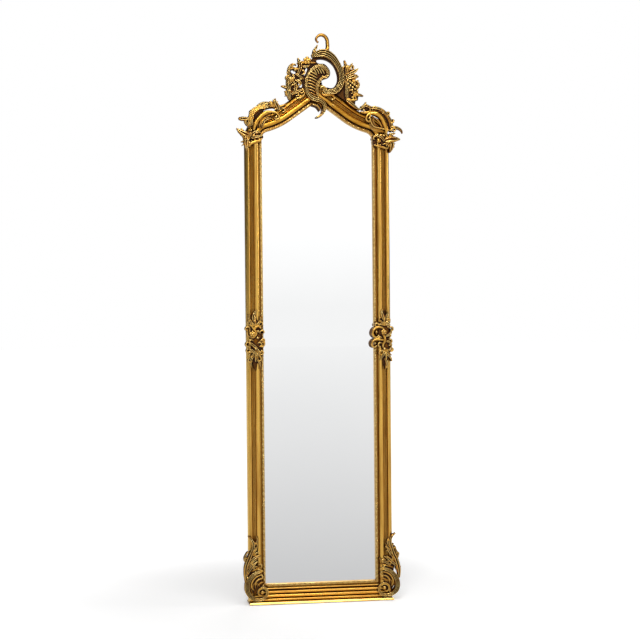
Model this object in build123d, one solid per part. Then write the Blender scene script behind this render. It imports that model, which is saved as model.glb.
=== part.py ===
from build123d import *
import math
import os

os.makedirs("parts", exist_ok=True)

# A tall gilded floor mirror. Millimetres. X is to the right seen from the front,
# the front faces -Y, Z is up, and the origin is on the floor under the middle of the foot.

# Frame
frame_width = 462.0
spring_height = 1465.0
shoulder_radius = 25.0
shoulder_turn = 75.0
ogee_radius = 230.0
gable_slope = 36.0

# Section of the moulding, from the sight edge outward, and its depths from front to back
ledge_width = 9.0
quirk_width = 4.0
band_width = 16.0
cove_width = 12.0
bead_width = 13.0
rebate_width = 8.0
moulding_front = -20.0
band_edge_depth = -13.0
bead_edge_depth = -14.5
cove_depth = -10.0
ledge_depth = -8.0
lip_thickness = 5.0
moulding_back = 12.0

# Carved strip that lines the sight edge
strip_width = 8.5
strip_edge_thickness = 3.5
strip_thickness = 6.0

# Foot
pad_thickness = 1.5
pad_radius = 9.0
pad_inset = 22.0
plinth_height = 6.5
plinth_depth = 80.0
plinth_chamfer = 4.0
plinth_screw_count = 4
plinth_screw_spacing = 132.0
plinth_screw_length = 30.0
plinth_screw_radius = 2.0
plinth_screw_head_radius = 4.0
plinth_screw_head_height = 2.5

# Mirror glass and what holds it
glass_thickness = 4.0
glass_clearance = 2.0
board_thickness = 6.0
board_clearance = 1.0
block_length = 30.0
block_spacing = 180.0
clip_width = 12.0
clip_thickness = 1.2
clip_foot = 6.0
clip_tail = 14.0
clip_screw_reach = 8.0
clip_levels = 4
clip_end_margin = 160.0
clip_bottom_spacing = 200.0
clip_gable_share = 0.4

# Screws into the back of the frame
screw_radius = 1.5
screw_length = 11.0
screw_head_radius = 3.0
screw_head_height = 1.5
hole_clearance = 0.1
cut_margin = 1.0

# Steel plates over the joints of the frame
plate_thickness = 2.0
plate_width = 16.0
corner_plate_leg = 70.0
mending_plate_length = 80.0
plate_line = 31.0
plate_end_margin = 10.0
plate_screw_pitch = 18.0
apex_plate_rise = 21.0

# Hangers on the back
hanger_height = 1240.0
strap_width = 16.0
strap_length = 62.0
strap_thickness = 1.6
ring_wire_radius = 1.5
ring_bore_clearance = 0.3
ring_half_width = 12.0
ring_leg = 14.0
ring_corner_radius = 4.0
strap_screw_margin = 8.0
strap_screw_pitch = 14.0

# Carvings
carving_inset = 31.0
crest_drop = 85.0
shoulder_drop = 65.0
middle_height = 830.0
carving_station_spacing = 14.0
roundness = 0.48
full_relief = 11.0
low_relief = 5.0
carving_rise = 4.0
finial_wall = 6.0
crest_board_thickness = 18.0
dowel_radius = 2.0
dowel_depth = 16.0
dowel_line = -6.0

# Values that follow
member_width = ledge_width + quirk_width + band_width + cove_width + bead_width
outer_half = frame_width / 2
sight_half = outer_half - member_width
lip_back = ledge_depth + lip_thickness
plinth_top = pad_thickness + plinth_height
sight_bottom = plinth_top + member_width
glass_back = lip_back + glass_thickness
board_back = glass_back + board_thickness
strap_hole_radius = ring_wire_radius + ring_bore_clearance
barrel_radius = strap_hole_radius + strap_thickness
ring_axis_depth = moulding_back + barrel_radius
carving_line = outer_half - carving_inset
everything = 4 * spring_height


def polar(centre, radius, degrees):
    """A point in the front plane, at an angle from +X towards +Z."""
    angle = math.radians(degrees)
    return centre + Vector(radius * math.cos(angle), 0, radius * math.sin(angle))


def arch_edges(offset, overrun=0.0):
    """Right half of the arched top: shoulder arc, ogee arc and straight gable."""
    ogee_end = 90.0 - gable_slope
    shoulder_centre = Vector(sight_half - shoulder_radius, 0, spring_height)
    ogee_centre = polar(shoulder_centre, shoulder_radius + ogee_radius, shoulder_turn)
    shoulder = shoulder_radius + offset
    ogee = offset - ogee_radius
    start = polar(shoulder_centre, shoulder, 0)
    shoulder_middle = polar(shoulder_centre, shoulder, shoulder_turn / 2)
    shoulder_end = polar(shoulder_centre, shoulder, shoulder_turn)
    ogee_middle = polar(ogee_centre, ogee, (shoulder_turn + ogee_end) / 2)
    gable_start = polar(ogee_centre, ogee, ogee_end)
    run = gable_start.X + overrun
    apex = gable_start + Vector(-run, 0, run * math.tan(math.radians(gable_slope)))
    return [
        ThreePointArc(start, shoulder_middle, shoulder_end),
        ThreePointArc(shoulder_end, ogee_middle, gable_start),
        Line(gable_start, apex),
    ]


def apex_height(offset):
    """Height of the arched top over the middle of the foot."""
    return (arch_edges(offset)[-1] @ 1).Z


def arched_face(offset, bottom):
    """The full arched outline down to a level, as a face at y = 0."""
    right = arch_edges(offset)
    left = [mirror(edge, about=Plane.YZ) for edge in right]
    half = sight_half + offset
    sides = [
        Line((half, 0, bottom), (half, 0, spring_height)),
        Line((-half, 0, bottom), (-half, 0, spring_height)),
        Line((-half, 0, bottom), (half, 0, bottom)),
    ]
    return make_face(right + left + sides)


def slab(face, front, back):
    """A flat piece with the face's outline, between two depths."""
    return extrude(Pos(0, front, 0) * face, amount=back - front, dir=(0, 1, 0))


def block(x_range, y_range, z_range):
    """A plain box from three ranges."""
    size = [high - low for low, high in (x_range, y_range, z_range)]
    middle = [(high + low) / 2 for low, high in (x_range, y_range, z_range)]
    return Pos(*middle) * Box(*size)


def rod(x, z, radius, front, back):
    """A round rod along Y."""
    turned = Rot(-90, 0, 0) * Cylinder(radius, back - front)
    return Pos(x, (front + back) / 2, z) * turned


def right_half():
    """Everything at positive X."""
    return block((0, everything), (-everything, everything), (-everything, everything))


def moulding_profile():
    """The moulding's section: x outward from the sight edge, y the depth."""
    band_start = ledge_width + quirk_width
    cove_start = band_start + band_width
    bead_start = cove_start + cove_width
    band_middle = band_start + band_width / 2
    cove_middle = cove_start + cove_width / 2
    bead_middle = bead_start + bead_width / 2
    return make_face([
        Polyline((0, lip_back), (0, ledge_depth), (band_start, ledge_depth), (band_start, band_edge_depth)),
        ThreePointArc(
            (band_start, band_edge_depth), (band_middle, moulding_front), (cove_start, band_edge_depth)
        ),
        ThreePointArc(
            (cove_start, band_edge_depth), (cove_middle, cove_depth), (bead_start, bead_edge_depth)
        ),
        ThreePointArc(
            (bead_start, bead_edge_depth), (bead_middle, moulding_front), (member_width, bead_edge_depth)
        ),
        Polyline(
            (member_width, bead_edge_depth),
            (member_width, moulding_back),
            (rebate_width, moulding_back),
            (rebate_width, lip_back),
            (0, lip_back),
        ),
    ])


def strip_profile():
    """The sight strip's section: flat back on the ledge, rounded front."""
    edge = ledge_depth - strip_edge_thickness
    return make_face([
        Polyline((0, edge), (0, ledge_depth), (strip_width, ledge_depth), (strip_width, edge)),
        ThreePointArc((strip_width, edge), (strip_width / 2, ledge_depth - strip_thickness), (0, edge)),
    ])


def mitre_wedge(upper):
    """The triangle taken off at a lower corner, above or below the mitre line."""
    toe = (outer_half, 0, plinth_top)
    heel = (sight_half - member_width, 0, plinth_top + 2 * member_width)
    other = (outer_half, 0, heel[2]) if upper else (heel[0], 0, plinth_top)
    face = make_face(Polyline(toe, heel, other, close=True))
    return slab(face, 2 * moulding_front, 2 * moulding_back)


def stile(profile):
    """A right-hand upright with its lower end mitred."""
    section = Plane(origin=(sight_half, 0, plinth_top), x_dir=(1, 0, 0), z_dir=(0, 0, 1)) * profile
    return extrude(section, amount=spring_height - plinth_top) - mitre_wedge(False)


def bottom_rail(profile):
    """The rail on the plinth, mitred at both ends."""
    section = Plane(origin=(-outer_half, 0, sight_bottom), x_dir=(0, 0, -1), z_dir=(1, 0, 0)) * profile
    corner = mitre_wedge(True)
    return extrude(section, amount=frame_width) - corner - mirror(corner, about=Plane.YZ)


def top_rail(profile):
    """The right half of the arched top, from the spring line to the apex."""
    section = Plane(origin=(sight_half, 0, spring_height), x_dir=(1, 0, 0), z_dir=(0, 0, 1)) * profile
    swept = sweep(section, path=Wire(arch_edges(0, overrun=member_width)))
    return swept & right_half()


def screws(places, seat):
    """Pan head screws into the back of the frame, their heads on the given depth."""
    group = []
    for x, z in places:
        head = rod(x, z, screw_head_radius, seat, seat + screw_head_height)
        shank = rod(x, z, screw_radius, seat - screw_length, seat)
        group.append(head + shank)
    return group


def pilot_holes(places, seat):
    """Clearance for the shanks of those screws."""
    radius = screw_radius + hole_clearance
    tip = seat - screw_length - hole_clearance
    return [rod(x, z, radius, tip, moulding_back + plate_thickness + cut_margin) for x, z in places]


# Places of the fasteners
plate_x = sight_half + plate_line
plate_z = sight_bottom - plate_line
plate_seat = moulding_back + plate_thickness
apex_plate_z = apex_height(0) + apex_plate_rise
screw_reach = mending_plate_length / 2 - plate_end_margin
screw_offsets = [-screw_reach, plate_screw_pitch - screw_reach, screw_reach - plate_screw_pitch, screw_reach]
corner_steps = [0, corner_plate_leg / 2, corner_plate_leg - plate_end_margin]
corner_places = []
mending_places = []
for side in (-1, 1):
    corner_places.append((side * plate_x, plate_z))
    for step in corner_steps[1:]:
        corner_places.append((side * plate_x, plate_z + step))
        corner_places.append((side * (plate_x - step), plate_z))
    for offset in screw_offsets:
        mending_places.append((side * plate_x, spring_height + offset))
for offset in screw_offsets:
    mending_places.append((offset, apex_plate_z))

strap_places = []
for side in (-1, 1):
    lowest = hanger_height - strap_length + strap_screw_margin
    for level in (lowest, lowest + strap_screw_pitch):
        strap_places.append((side * plate_x, level))

# The clips stand on the back of the frame beside the rebate, each as (x, z, turn of its foot)
clip_line = sight_half + rebate_width
clip_rise = (spring_height - sight_bottom - 2 * clip_end_margin) / (clip_levels - 1)
clip_spots = []
for level in range(clip_levels):
    height = sight_bottom + clip_end_margin + level * clip_rise
    clip_spots.append((clip_line, height, 0))
    clip_spots.append((-clip_line, height, 180))
for side in (-1, 1):
    clip_spots.append((side * clip_bottom_spacing / 2, sight_bottom - rebate_width, 90))
    gable = arch_edges(rebate_width)[-1]
    spot = gable @ clip_gable_share
    clip_spots.append((side * spot.X, spot.Z, side * gable_slope - 90))


def clip_screw_place(x, z, turn):
    """Where a clip's screw stands, in the middle of its tail."""
    angle = math.radians(turn)
    return (x + clip_screw_reach * math.cos(angle), z - clip_screw_reach * math.sin(angle))


clip_places = [clip_screw_place(*spot) for spot in clip_spots]


def retaining_clip(x, z, turn):
    """A stepped clip: its tail on the frame, its foot on the backing board."""
    half = clip_width / 2
    tail = block((0, clip_tail), (moulding_back, moulding_back + clip_thickness), (-half, half))
    web = block((-clip_thickness, 0), (board_back, moulding_back + clip_thickness), (-half, half))
    foot = block((-clip_foot, 0), (board_back, board_back + clip_thickness), (-half, half))
    hole_radius = screw_radius + hole_clearance
    hole = rod(clip_screw_reach, 0, hole_radius, board_back, moulding_back + 2 * clip_thickness)
    return Pos(x, 0, z) * Rot(0, turn, 0) * (tail + web + foot - hole)


# Wooden frame
profile = moulding_profile()
sight_profile = strip_profile()
frame_holes = pilot_holes(corner_places + mending_places, plate_seat)
frame_holes += pilot_holes(strap_places, moulding_back + strap_thickness)
frame_holes += pilot_holes(clip_places, moulding_back + clip_thickness)

plinth_screw_middle = (plinth_screw_count - 1) / 2
plinth_screw_places = []
for index in range(plinth_screw_count):
    plinth_screw_places.append(plinth_screw_spacing * (index - plinth_screw_middle))
plinth_screw_top = pad_thickness + plinth_screw_length
dowel_places = (-78.0, -38.0, 78.0, 105.0)


def contour_height(x):
    """Height of the gable's outer contour at a distance from the middle."""
    return apex_height(member_width) - abs(x) * math.tan(math.radians(gable_slope))


def upright_rod(x, y, radius, low, high):
    """A round rod along Z."""
    return Pos(x, y, (low + high) / 2) * Cylinder(radius, high - low)


plinth_holes = []
for x in plinth_screw_places:
    radius = plinth_screw_radius + hole_clearance
    plinth_holes.append(upright_rod(x, 0, radius, pad_thickness, plinth_screw_top + hole_clearance))

dowel_holes = []
for x in dowel_places:
    level = contour_height(x)
    radius = dowel_radius + hole_clearance
    reach = dowel_depth + hole_clearance
    dowel_holes.append(upright_rod(x, dowel_line, radius, level - reach, level + reach))

right_stile = stile(profile)
right_top = top_rail(profile)
frame_members = {
    "right_stile": right_stile - frame_holes,
    "left_stile": mirror(right_stile, about=Plane.YZ) - frame_holes,
    "bottom_rail": bottom_rail(profile) - frame_holes - plinth_holes,
    "right_top_rail": right_top - frame_holes - dowel_holes,
    "left_top_rail": mirror(right_top, about=Plane.YZ) - frame_holes - dowel_holes,
}

right_strip = stile(sight_profile)
right_top_strip = top_rail(sight_profile)
sight_strips = {
    "right_sight_strip": right_strip,
    "left_sight_strip": mirror(right_strip, about=Plane.YZ),
    "bottom_sight_strip": bottom_rail(sight_profile),
    "right_top_sight_strip": right_top_strip,
    "left_top_sight_strip": mirror(right_top_strip, about=Plane.YZ),
}

# Mirror glass, setting blocks and backing board
glass_offset = rebate_width - glass_clearance
board_offset = rebate_width - board_clearance
mirror_glass = slab(arched_face(glass_offset, sight_bottom - glass_offset), lip_back, glass_back)
backing_board = slab(arched_face(board_offset, sight_bottom - board_offset), glass_back, board_back)
setting_blocks = []
for side in (-1, 1):
    middle = side * block_spacing / 2
    along = (middle - block_length / 2, middle + block_length / 2)
    below = (sight_bottom - rebate_width, sight_bottom - glass_offset)
    setting_blocks.append(block(along, (lip_back, glass_back), below))

retaining_clips = [retaining_clip(*spot) for spot in clip_spots]
clip_screws = screws(clip_places, moulding_back + clip_thickness)


# Steel plates and their screws
def plate(x_range, z_range):
    """A flat steel plate on the back of the frame."""
    return block(x_range, (moulding_back, plate_seat), z_range)


half_plate = plate_width / 2
half_length = mending_plate_length / 2
plate_holes = pilot_holes(corner_places + mending_places, plate_seat)
corner_plates = []
mending_plates = [
    plate((-half_length, half_length), (apex_plate_z - half_plate, apex_plate_z + half_plate)) - plate_holes
]
for side in (-1, 1):
    upright = plate((-half_plate, half_plate), (-half_plate, corner_plate_leg))
    across = Rot(0, -side * 90, 0) * upright
    corner = Pos(side * plate_x, 0, plate_z) * (upright + across)
    corner_plates.append(corner - plate_holes)
    middle = side * plate_x
    reach = (spring_height - half_length, spring_height + half_length)
    mending_plates.append(plate((middle - half_plate, middle + half_plate), reach) - plate_holes)
plate_screws = screws(corner_places + mending_places, plate_seat)

# Foot
plinth = Pos(0, 0, pad_thickness + plinth_height / 2) * Box(frame_width, plinth_depth, plinth_height)
plinth = chamfer(plinth.edges().group_by(Axis.Z)[-1], plinth_chamfer)
head_top = pad_thickness + plinth_screw_head_height
plinth_heads = []
for x in plinth_screw_places:
    radius = plinth_screw_head_radius + hole_clearance
    plinth_heads.append(upright_rod(x, 0, radius, pad_thickness, head_top + hole_clearance))
base_plinth = plinth - plinth_holes - plinth_heads
plinth_screws = []
for x in plinth_screw_places:
    head = upright_rod(x, 0, plinth_screw_head_radius, pad_thickness, head_top)
    plinth_screws.append(head + upright_rod(x, 0, plinth_screw_radius, head_top, plinth_screw_top))
felt_pads = [upright_rod(0, 0, pad_radius, 0, pad_thickness)]
for x in (pad_inset - outer_half, outer_half - pad_inset):
    for y in (pad_inset - plinth_depth / 2, plinth_depth / 2 - pad_inset):
        felt_pads.append(upright_rod(x, y, pad_radius, 0, pad_thickness))


# Hangers
def hanger_strap(side):
    """A strap screwed to the stile, rolled into a barrel at its upper end."""
    x = side * plate_x
    half = strap_width / 2
    depth = (moulding_back, moulding_back + strap_thickness)
    strip = block((x - half, x + half), depth, (hanger_height - strap_length, hanger_height))
    centre = Pos(x, ring_axis_depth, hanger_height) * Rot(0, 90, 0)
    barrel = centre * Cylinder(barrel_radius, strap_width)
    bore = centre * Cylinder(strap_hole_radius, 2 * strap_width)
    return strip + barrel - bore - pilot_holes(strap_places, moulding_back + strap_thickness)


def hanger_ring(side):
    """A D-shaped wire ring whose straight bar turns in the barrel; at rest it hangs down."""
    bend = math.sqrt(0.5) * ring_corner_radius
    wide = ring_half_width
    inner = wide - ring_corner_radius
    knee = ring_corner_radius - bend
    path = Wire([
        Line((-inner, 0, 0), (inner, 0, 0)),
        ThreePointArc((inner, 0, 0), (wide - knee, 0, -knee), (wide, 0, -ring_corner_radius)),
        Line((wide, 0, -ring_corner_radius), (wide, 0, -ring_leg)),
        ThreePointArc((wide, 0, -ring_leg), (0, 0, -ring_leg - wide), (-wide, 0, -ring_leg)),
        Line((-wide, 0, -ring_leg), (-wide, 0, -ring_corner_radius)),
        ThreePointArc((-wide, 0, -ring_corner_radius), (knee - wide, 0, -knee), (-inner, 0, 0)),
    ])
    section = Plane(origin=(-inner, 0, 0), x_dir=(0, 1, 0), z_dir=(1, 0, 0)) * Circle(ring_wire_radius)
    return Pos(side * plate_x, ring_axis_depth, hanger_height) * sweep(section, path=path)


strap_screws = screws(strap_places, moulding_back + strap_thickness)


# Carvings: each is built from strokes, a list of (u, v, width) along the stroke's middle line
def crest_place(u, v):
    """Crest points: u from the middle, v above a level under the sight apex."""
    return Vector(u, 0, apex_height(0) - crest_drop + v)


def shoulder_place(side):
    """Shoulder points: u outward from the middle of the stile, v above a level under the spring."""
    return lambda u, v: Vector(side * (carving_line + u), 0, spring_height - shoulder_drop + v)


def foot_place(side):
    """Foot points: u outward from the middle of the stile, v above the plinth."""
    return lambda u, v: Vector(side * (carving_line + u), 0, plinth_top + v)


def middle_place(side):
    """Points of the ornament half way up a stile."""
    return lambda u, v: Vector(side * (carving_line + u), 0, middle_height + v)


def stroke(points, place, relief=full_relief, rise=carving_rise, wall=0.0):
    """One carved scroll or leaf: a flat back, straight sides and a rounded front."""
    centres = [place(u, v) for u, v, width in points]
    line = Spline(*centres)
    stations = [line.param_at_point(centre) for centre in centres]
    marks = [(stations[0], points[0][2])]
    for index in range(1, len(points)):
        gap = (centres[index] - centres[index - 1]).length
        steps = max(1, round(gap / carving_station_spacing))
        for step in range(1, steps + 1):
            share = step / steps
            before, after = stations[index - 1], stations[index]
            narrow, wide = points[index - 1][2], points[index][2]
            marks.append((before + share * (after - before), narrow + share * (wide - narrow)))
    front = Vector(0, moulding_front - rise, 0)
    back = Vector(0, moulding_front + wall, 0)
    sections = []
    for station, width in marks:
        centre = line @ station
        along = line % station
        across = Vector(along.Z, 0, -along.X).normalized() * (width / 2)
        top = centre + front - Vector(0, min(relief, roundness * width), 0)
        one, two = centre + across, centre - across
        outline = [Edge.make_three_point_arc(one + front, top, two + front)]
        if rise + wall > 0:
            outline.append(Edge.make_line(two + front, two + back))
            outline.append(Edge.make_line(two + back, one + back))
            outline.append(Edge.make_line(one + back, one + front))
        else:
            outline.append(Edge.make_line(two + front, one + front))
        sections.append(Wire(outline))
    return Solid.make_loft(sections)


def ground(points, place):
    """The low ground of a carving, under its raised strokes."""
    return stroke(points, place, relief=low_relief, rise=0)


def boss(u, v, radius, place):
    """A round bead or berry on the carving."""
    centre = place(u, v) + Vector(0, moulding_front, 0)
    dome = Rot(90, 0, 0) * Sphere(radius, arc_size1=0, align=(Align.CENTER, Align.CENTER, Align.MIN))
    return Pos(centre.X, centre.Y, centre.Z) * dome


def carve(first, *others):
    """Join the strokes of one carving."""
    joined = first
    for other in others:
        joined = joined.fuse(other)
    return joined


plume = carve(
    stroke([
        (14, 163, 5), (25, 160, 8), (34, 170, 10), (29, 184, 11), (14, 194, 11), (-3, 193, 10),
        (-21, 179, 9), (-33, 158, 9), (-36, 135, 9), (-33, 114, 11), (-21, 96, 15), (-5, 89, 16),
        (10, 85, 15), (21, 74, 13), (22, 59, 11), (16, 46, 9), (6, 38, 7), (-3, 35, 5),
    ], crest_place),
    stroke([(18, 160, 6), (9, 151, 9), (1, 139, 10), (-2, 122, 10), (1, 104, 8), (5, 94, 6)], crest_place),
    ground([(8, 180, 22), (-9, 166, 32), (-18, 145, 34), (-19, 122, 30), (-11, 102, 20)], crest_place),
)

c_scroll = carve(
    stroke([
        (-17, 226, 12), (-4, 231, 19), (12, 235, 26), (28, 234, 27), (45, 225, 24), (60, 209, 20),
        (71, 189, 18), (77, 166, 18), (76, 145, 19), (69, 129, 20), (57, 117, 18), (41, 113, 17),
        (27, 114, 15), (18, 121, 9),
    ], crest_place),
    stroke([(14, 111, 6), (22, 104, 9), (36, 104, 10), (49, 103, 9), (53, 94, 7), (45, 88, 5)], crest_place),
    stroke([(-15, 230, 8), (-9, 243, 9), (-3, 252, 8), (2, 262, 4)], crest_place),
)
hook_finial = stroke([
    (29, 236, 14), (34, 252, 12), (34, 268, 11), (32, 281, 11), (24, 291, 10), (13, 294, 10),
    (3, 289, 8), (-2, 280, 7), (0, 272, 5),
], crest_place, wall=finial_wall)
crest_scroll = c_scroll.fuse(hook_finial)

flower_centre = (-32, 212)
petal_count = 5
petal_ring = 7.5
petal_radius = 5.5
petals = []
for index in range(petal_count):
    angle = math.radians(90 + 360 * index / petal_count)
    u = flower_centre[0] + petal_ring * math.cos(angle)
    v = flower_centre[1] + petal_ring * math.sin(angle)
    petals.append(boss(u, v, petal_radius, crest_place))
flower_spray = carve(
    stroke([
        (-88, 88, 8), (-92, 108, 14), (-92, 128, 14), (-93, 148, 12), (-90, 165, 9), (-91, 182, 8),
        (-85, 195, 8), (-77, 202, 5),
    ], crest_place),
    stroke([(-92, 124, 10), (-104, 127, 8), (-115, 131, 5)], crest_place),
    ground([(-86, 98, 14), (-79, 122, 25), (-74, 146, 22), (-66, 160, 13), (-62, 172, 9)], crest_place),
    stroke([(-68, 170, 6), (-58, 162, 8), (-47, 155, 6)], crest_place),
    stroke([(-78, 108, 12), (-63, 115, 10), (-47, 118, 7)], crest_place),
    stroke([(-62, 170, 8), (-56, 186, 14), (-53, 200, 14), (-58, 212, 9), (-61, 219, 5)], crest_place),
    stroke([(-90, 184, 7), (-74, 187, 6), (-58, 183, 7)], crest_place),
    stroke([(-54, 202, 9), (-42, 206, 9), (-30, 209, 8), (-16, 205, 7), (-4, 206, 5)], crest_place),
    boss(*flower_centre, petal_radius, crest_place),
    *petals,
)

floral_drop = carve(
    stroke([
        (98, 86, 7), (94, 104, 11), (94, 124, 12), (94, 145, 12), (94, 165, 11), (95, 185, 12),
        (92, 200, 9), (88, 214, 5),
    ], crest_place),
    stroke([(96, 180, 10), (106, 192, 10), (113, 204, 4)], crest_place),
    stroke([(96, 168, 12), (114, 176, 14), (124, 183, 11), (131, 188, 5)], crest_place),
    stroke([(98, 158, 14), (112, 162, 18), (124, 165, 14), (132, 163, 5)], crest_place),
    ground([(98, 150, 18), (108, 132, 26), (117, 116, 28), (123, 102, 20), (127, 90, 8)], crest_place),
    stroke([(124, 110, 10), (136, 106, 8), (147, 103, 3)], crest_place),
    stroke([(96, 88, 8), (110, 77, 11), (124, 66, 10), (134, 59, 4)], crest_place),
)

left_shoulder_scroll = carve(
    stroke([(4, 98, 13), (-2, 111, 14), (-15, 130, 14), (-35, 146, 13), (-55, 150, 9)], shoulder_place(-1)),
    stroke([
        (14, 100, 12), (11, 128, 20), (-4, 145, 20), (-22, 161, 21), (-40, 169, 18), (-58, 169, 12),
        (-80, 165, 16), (-97, 171, 8),
    ], shoulder_place(-1)),
    stroke([(12, 126, 12), (32, 127, 12), (44, 127, 14), (50, 127, 8)], shoulder_place(-1), wall=finial_wall),
    stroke([(-76, 156, 12), (-70, 170, 17), (-64, 181, 12), (-66, 191, 5)], shoulder_place(-1)),
    stroke([
        (-48, 148, 6), (-64, 147, 8), (-75, 141, 7), (-76, 131, 6), (-68, 126, 5), (-61, 131, 4),
    ], shoulder_place(-1)),
    stroke([(-15, 97, 5), (-20, 112, 6), (-35, 130, 6), (-56, 144, 6)], shoulder_place(-1)),
)

right_shoulder_scroll = carve(
    stroke([
        (-30, 149, 9), (-10, 146, 15), (5, 135, 16), (15, 115, 16), (21, 97, 13), (20, 86, 8),
    ], shoulder_place(1)),
    stroke([
        (-60, 162, 10), (-40, 165, 16), (-25, 160, 13), (-8, 160, 13), (8, 151, 14), (22, 138, 13),
        (32, 120, 12), (36, 103, 12), (34, 90, 7),
    ], shoulder_place(1)),
    stroke([(37, 102, 12), (50, 103, 11), (62, 100, 9), (70, 93, 7), (73, 86, 4)],
           shoulder_place(1), wall=finial_wall),
    stroke([(-20, 143, 8), (-34, 145, 8), (-43, 137, 7), (-41, 126, 6), (-32, 123, 5), (-26, 129, 4)],
           shoulder_place(1)),
    stroke([(-22, 140, 6), (-4, 125, 8), (8, 104, 8), (9, 88, 5)], shoulder_place(1)),
    stroke([(-62, 154, 8), (-46, 151, 12), (-28, 151, 10)], shoulder_place(1)),
)

left_clasp = carve(
    stroke([(20, 76, 24), (38, 81, 19), (50, 90, 10), (56, 96, 4)], shoulder_place(-1)),
    stroke([(22, 78, 22), (5, 74, 30), (-12, 70, 22), (-27, 72, 10)], shoulder_place(-1)),
    stroke([(26, 66, 20), (27, 50, 15), (26, 34, 9), (25, 26, 4)], shoulder_place(-1)),
    stroke([(20, 38, 6), (11, 50, 9), (-2, 55, 10), (-15, 59, 9), (-23, 67, 6)], shoulder_place(-1)),
)
right_clasp = carve(
    stroke([(20, 60, 30), (40, 64, 27), (54, 65, 15), (64, 65, 4)], shoulder_place(1)),
    stroke([(34, 66, 20), (38, 50, 19), (36, 36, 13), (32, 25, 4)], shoulder_place(1)),
    stroke([(-22, 57, 12), (-4, 59, 22), (12, 59, 30), (26, 58, 30)], shoulder_place(1)),
    stroke([(-19, 48, 6), (-4, 44, 8), (12, 40, 8), (27, 37, 7)], shoulder_place(1)),
    boss(-5, 61, 12, shoulder_place(1)),
)

left_foot_scroll = carve(
    stroke([
        (-13, 99, 8), (5, 93, 10), (22, 83, 12), (35, 67, 14), (39, 47, 14), (34, 27, 14), (20, 13, 12),
        (3, 8, 10), (-13, 10, 9), (-24, 20, 9), (-26, 34, 9), (-17, 44, 8), (-5, 42, 7), (2, 33, 6),
        (-1, 23, 5), (-10, 21, 4),
    ], foot_place(-1)),
    stroke([
        (40, 62, 10), (41, 87, 11), (40, 112, 12), (31, 138, 16), (22, 158, 14), (16, 180, 10),
        (22, 197, 8), (33, 207, 4),
    ], foot_place(-1)),
    stroke([(34, 90, 10), (22, 112, 9), (12, 122, 8), (4, 127, 4)], foot_place(-1)),
    stroke([(34, 106, 10), (24, 122, 9), (14, 131, 8), (5, 136, 4)], foot_place(-1)),
    stroke([(30, 128, 9), (14, 141, 8), (-8, 143, 4)], foot_place(-1)),
    stroke([(24, 150, 9), (12, 163, 8), (4, 174, 4)], foot_place(-1)),
    ground([(5, 82, 30), (12, 60, 38), (10, 34, 30)], foot_place(-1)),
)
right_foot_scroll = carve(
    stroke([
        (-12, 92, 7), (7, 90, 9), (26, 80, 11), (41, 64, 14), (48, 44, 15), (44, 24, 15), (30, 12, 12),
        (12, 8, 10), (-5, 10, 9), (-15, 22, 9), (-12, 37, 8), (1, 44, 8), (14, 39, 7), (17, 28, 6),
        (10, 20, 5), (2, 23, 4),
    ], foot_place(1)),
    stroke([
        (50, 62, 11), (50, 90, 13), (42, 117, 14), (32, 140, 14), (26, 160, 12), (22, 177, 10),
        (28, 194, 8), (40, 203, 5),
    ], foot_place(1)),
    stroke([(44, 98, 10), (22, 120, 9), (2, 129, 5)], foot_place(1)),
    stroke([(36, 124, 10), (17, 150, 8), (9, 169, 4)], foot_place(1)),
    ground([(15, 74, 34), (22, 54, 40), (18, 34, 30)], foot_place(1)),
)

left_middle_ornament = carve(
    stroke([
        (3, 93, 5), (9, 68, 15), (2, 42, 19), (8, 14, 21), (2, -14, 21), (9, -50, 17), (4, -93, 5),
    ], middle_place(-1)),
    stroke([(8, 50, 10), (20, 60, 9), (27, 76, 5)], middle_place(-1)),
    stroke([(0, 20, 12), (-15, 8, 10), (-23, -8, 5)], middle_place(-1)),
    stroke([(8, -18, 11), (23, -28, 9), (28, -46, 5)], middle_place(-1)),
    stroke([(2, -32, 10), (-11, -48, 8), (-12, -66, 4)], middle_place(-1)),
)
right_middle_ornament = carve(
    stroke([
        (10, 90, 6), (6, 62, 18), (12, 32, 22), (10, 0, 22), (14, -35, 20), (11, -65, 15), (13, -92, 5),
    ], middle_place(1)),
    stroke([(4, 34, 8), (-13, 36, 9), (-26, 27, 9), (-27, 14, 8), (-16, 9, 6), (-9, 16, 4)], middle_place(1)),
    stroke([
        (6, -2, 9), (-12, -1, 8), (-28, -6, 8), (-32, -16, 7), (-25, -23, 6), (-17, -18, 4),
    ], middle_place(1)),
    stroke([(16, 6, 12), (27, 16, 9), (32, 27, 4)], middle_place(1)),
    stroke([(14, -56, 11), (27, -64, 8), (32, -75, 4)], middle_place(1)),
)

# Pierced wooden board that carries the crest, seated on the gable
board_outline = [
    (-88, 60), (-88, 120), (-88, 160), (-86, 180), (-70, 187), (-52, 204), (-26, 210), (-8, 226), (12, 232),
    (28, 230), (46, 221), (62, 203), (76, 194), (94, 196), (112, 176), (122, 162), (112, 142), (126, 116),
    (124, 96), (118, 60),
]
crescent_piercing = [
    (4, 217), (22, 217), (40, 210), (54, 196), (63, 176), (66, 155), (60, 137), (48, 127), (34, 128),
    (20, 136), (14, 147), (24, 155), (38, 161), (42, 176), (34, 193), (20, 203), (4, 204), (-2, 211),
]
oval_piercings = [(-53, 136, 7, 9, 0), (-36, 178, 3.5, 14, -24), (-75, 176, 9, 6, -20)]


def crest_outline(points):
    """A closed smooth outline in the front plane."""
    return make_face(Spline(*[crest_place(u, v) for u, v in points], periodic=True))


def oval(u, v, half_width, half_height, lean):
    """An oval outline in the front plane."""
    centre = crest_place(u, v)
    shape = Plane.XZ * Ellipse(half_width, half_height)
    return Pos(centre.X, 0, centre.Z) * Rot(0, -lean, 0) * shape


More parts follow.
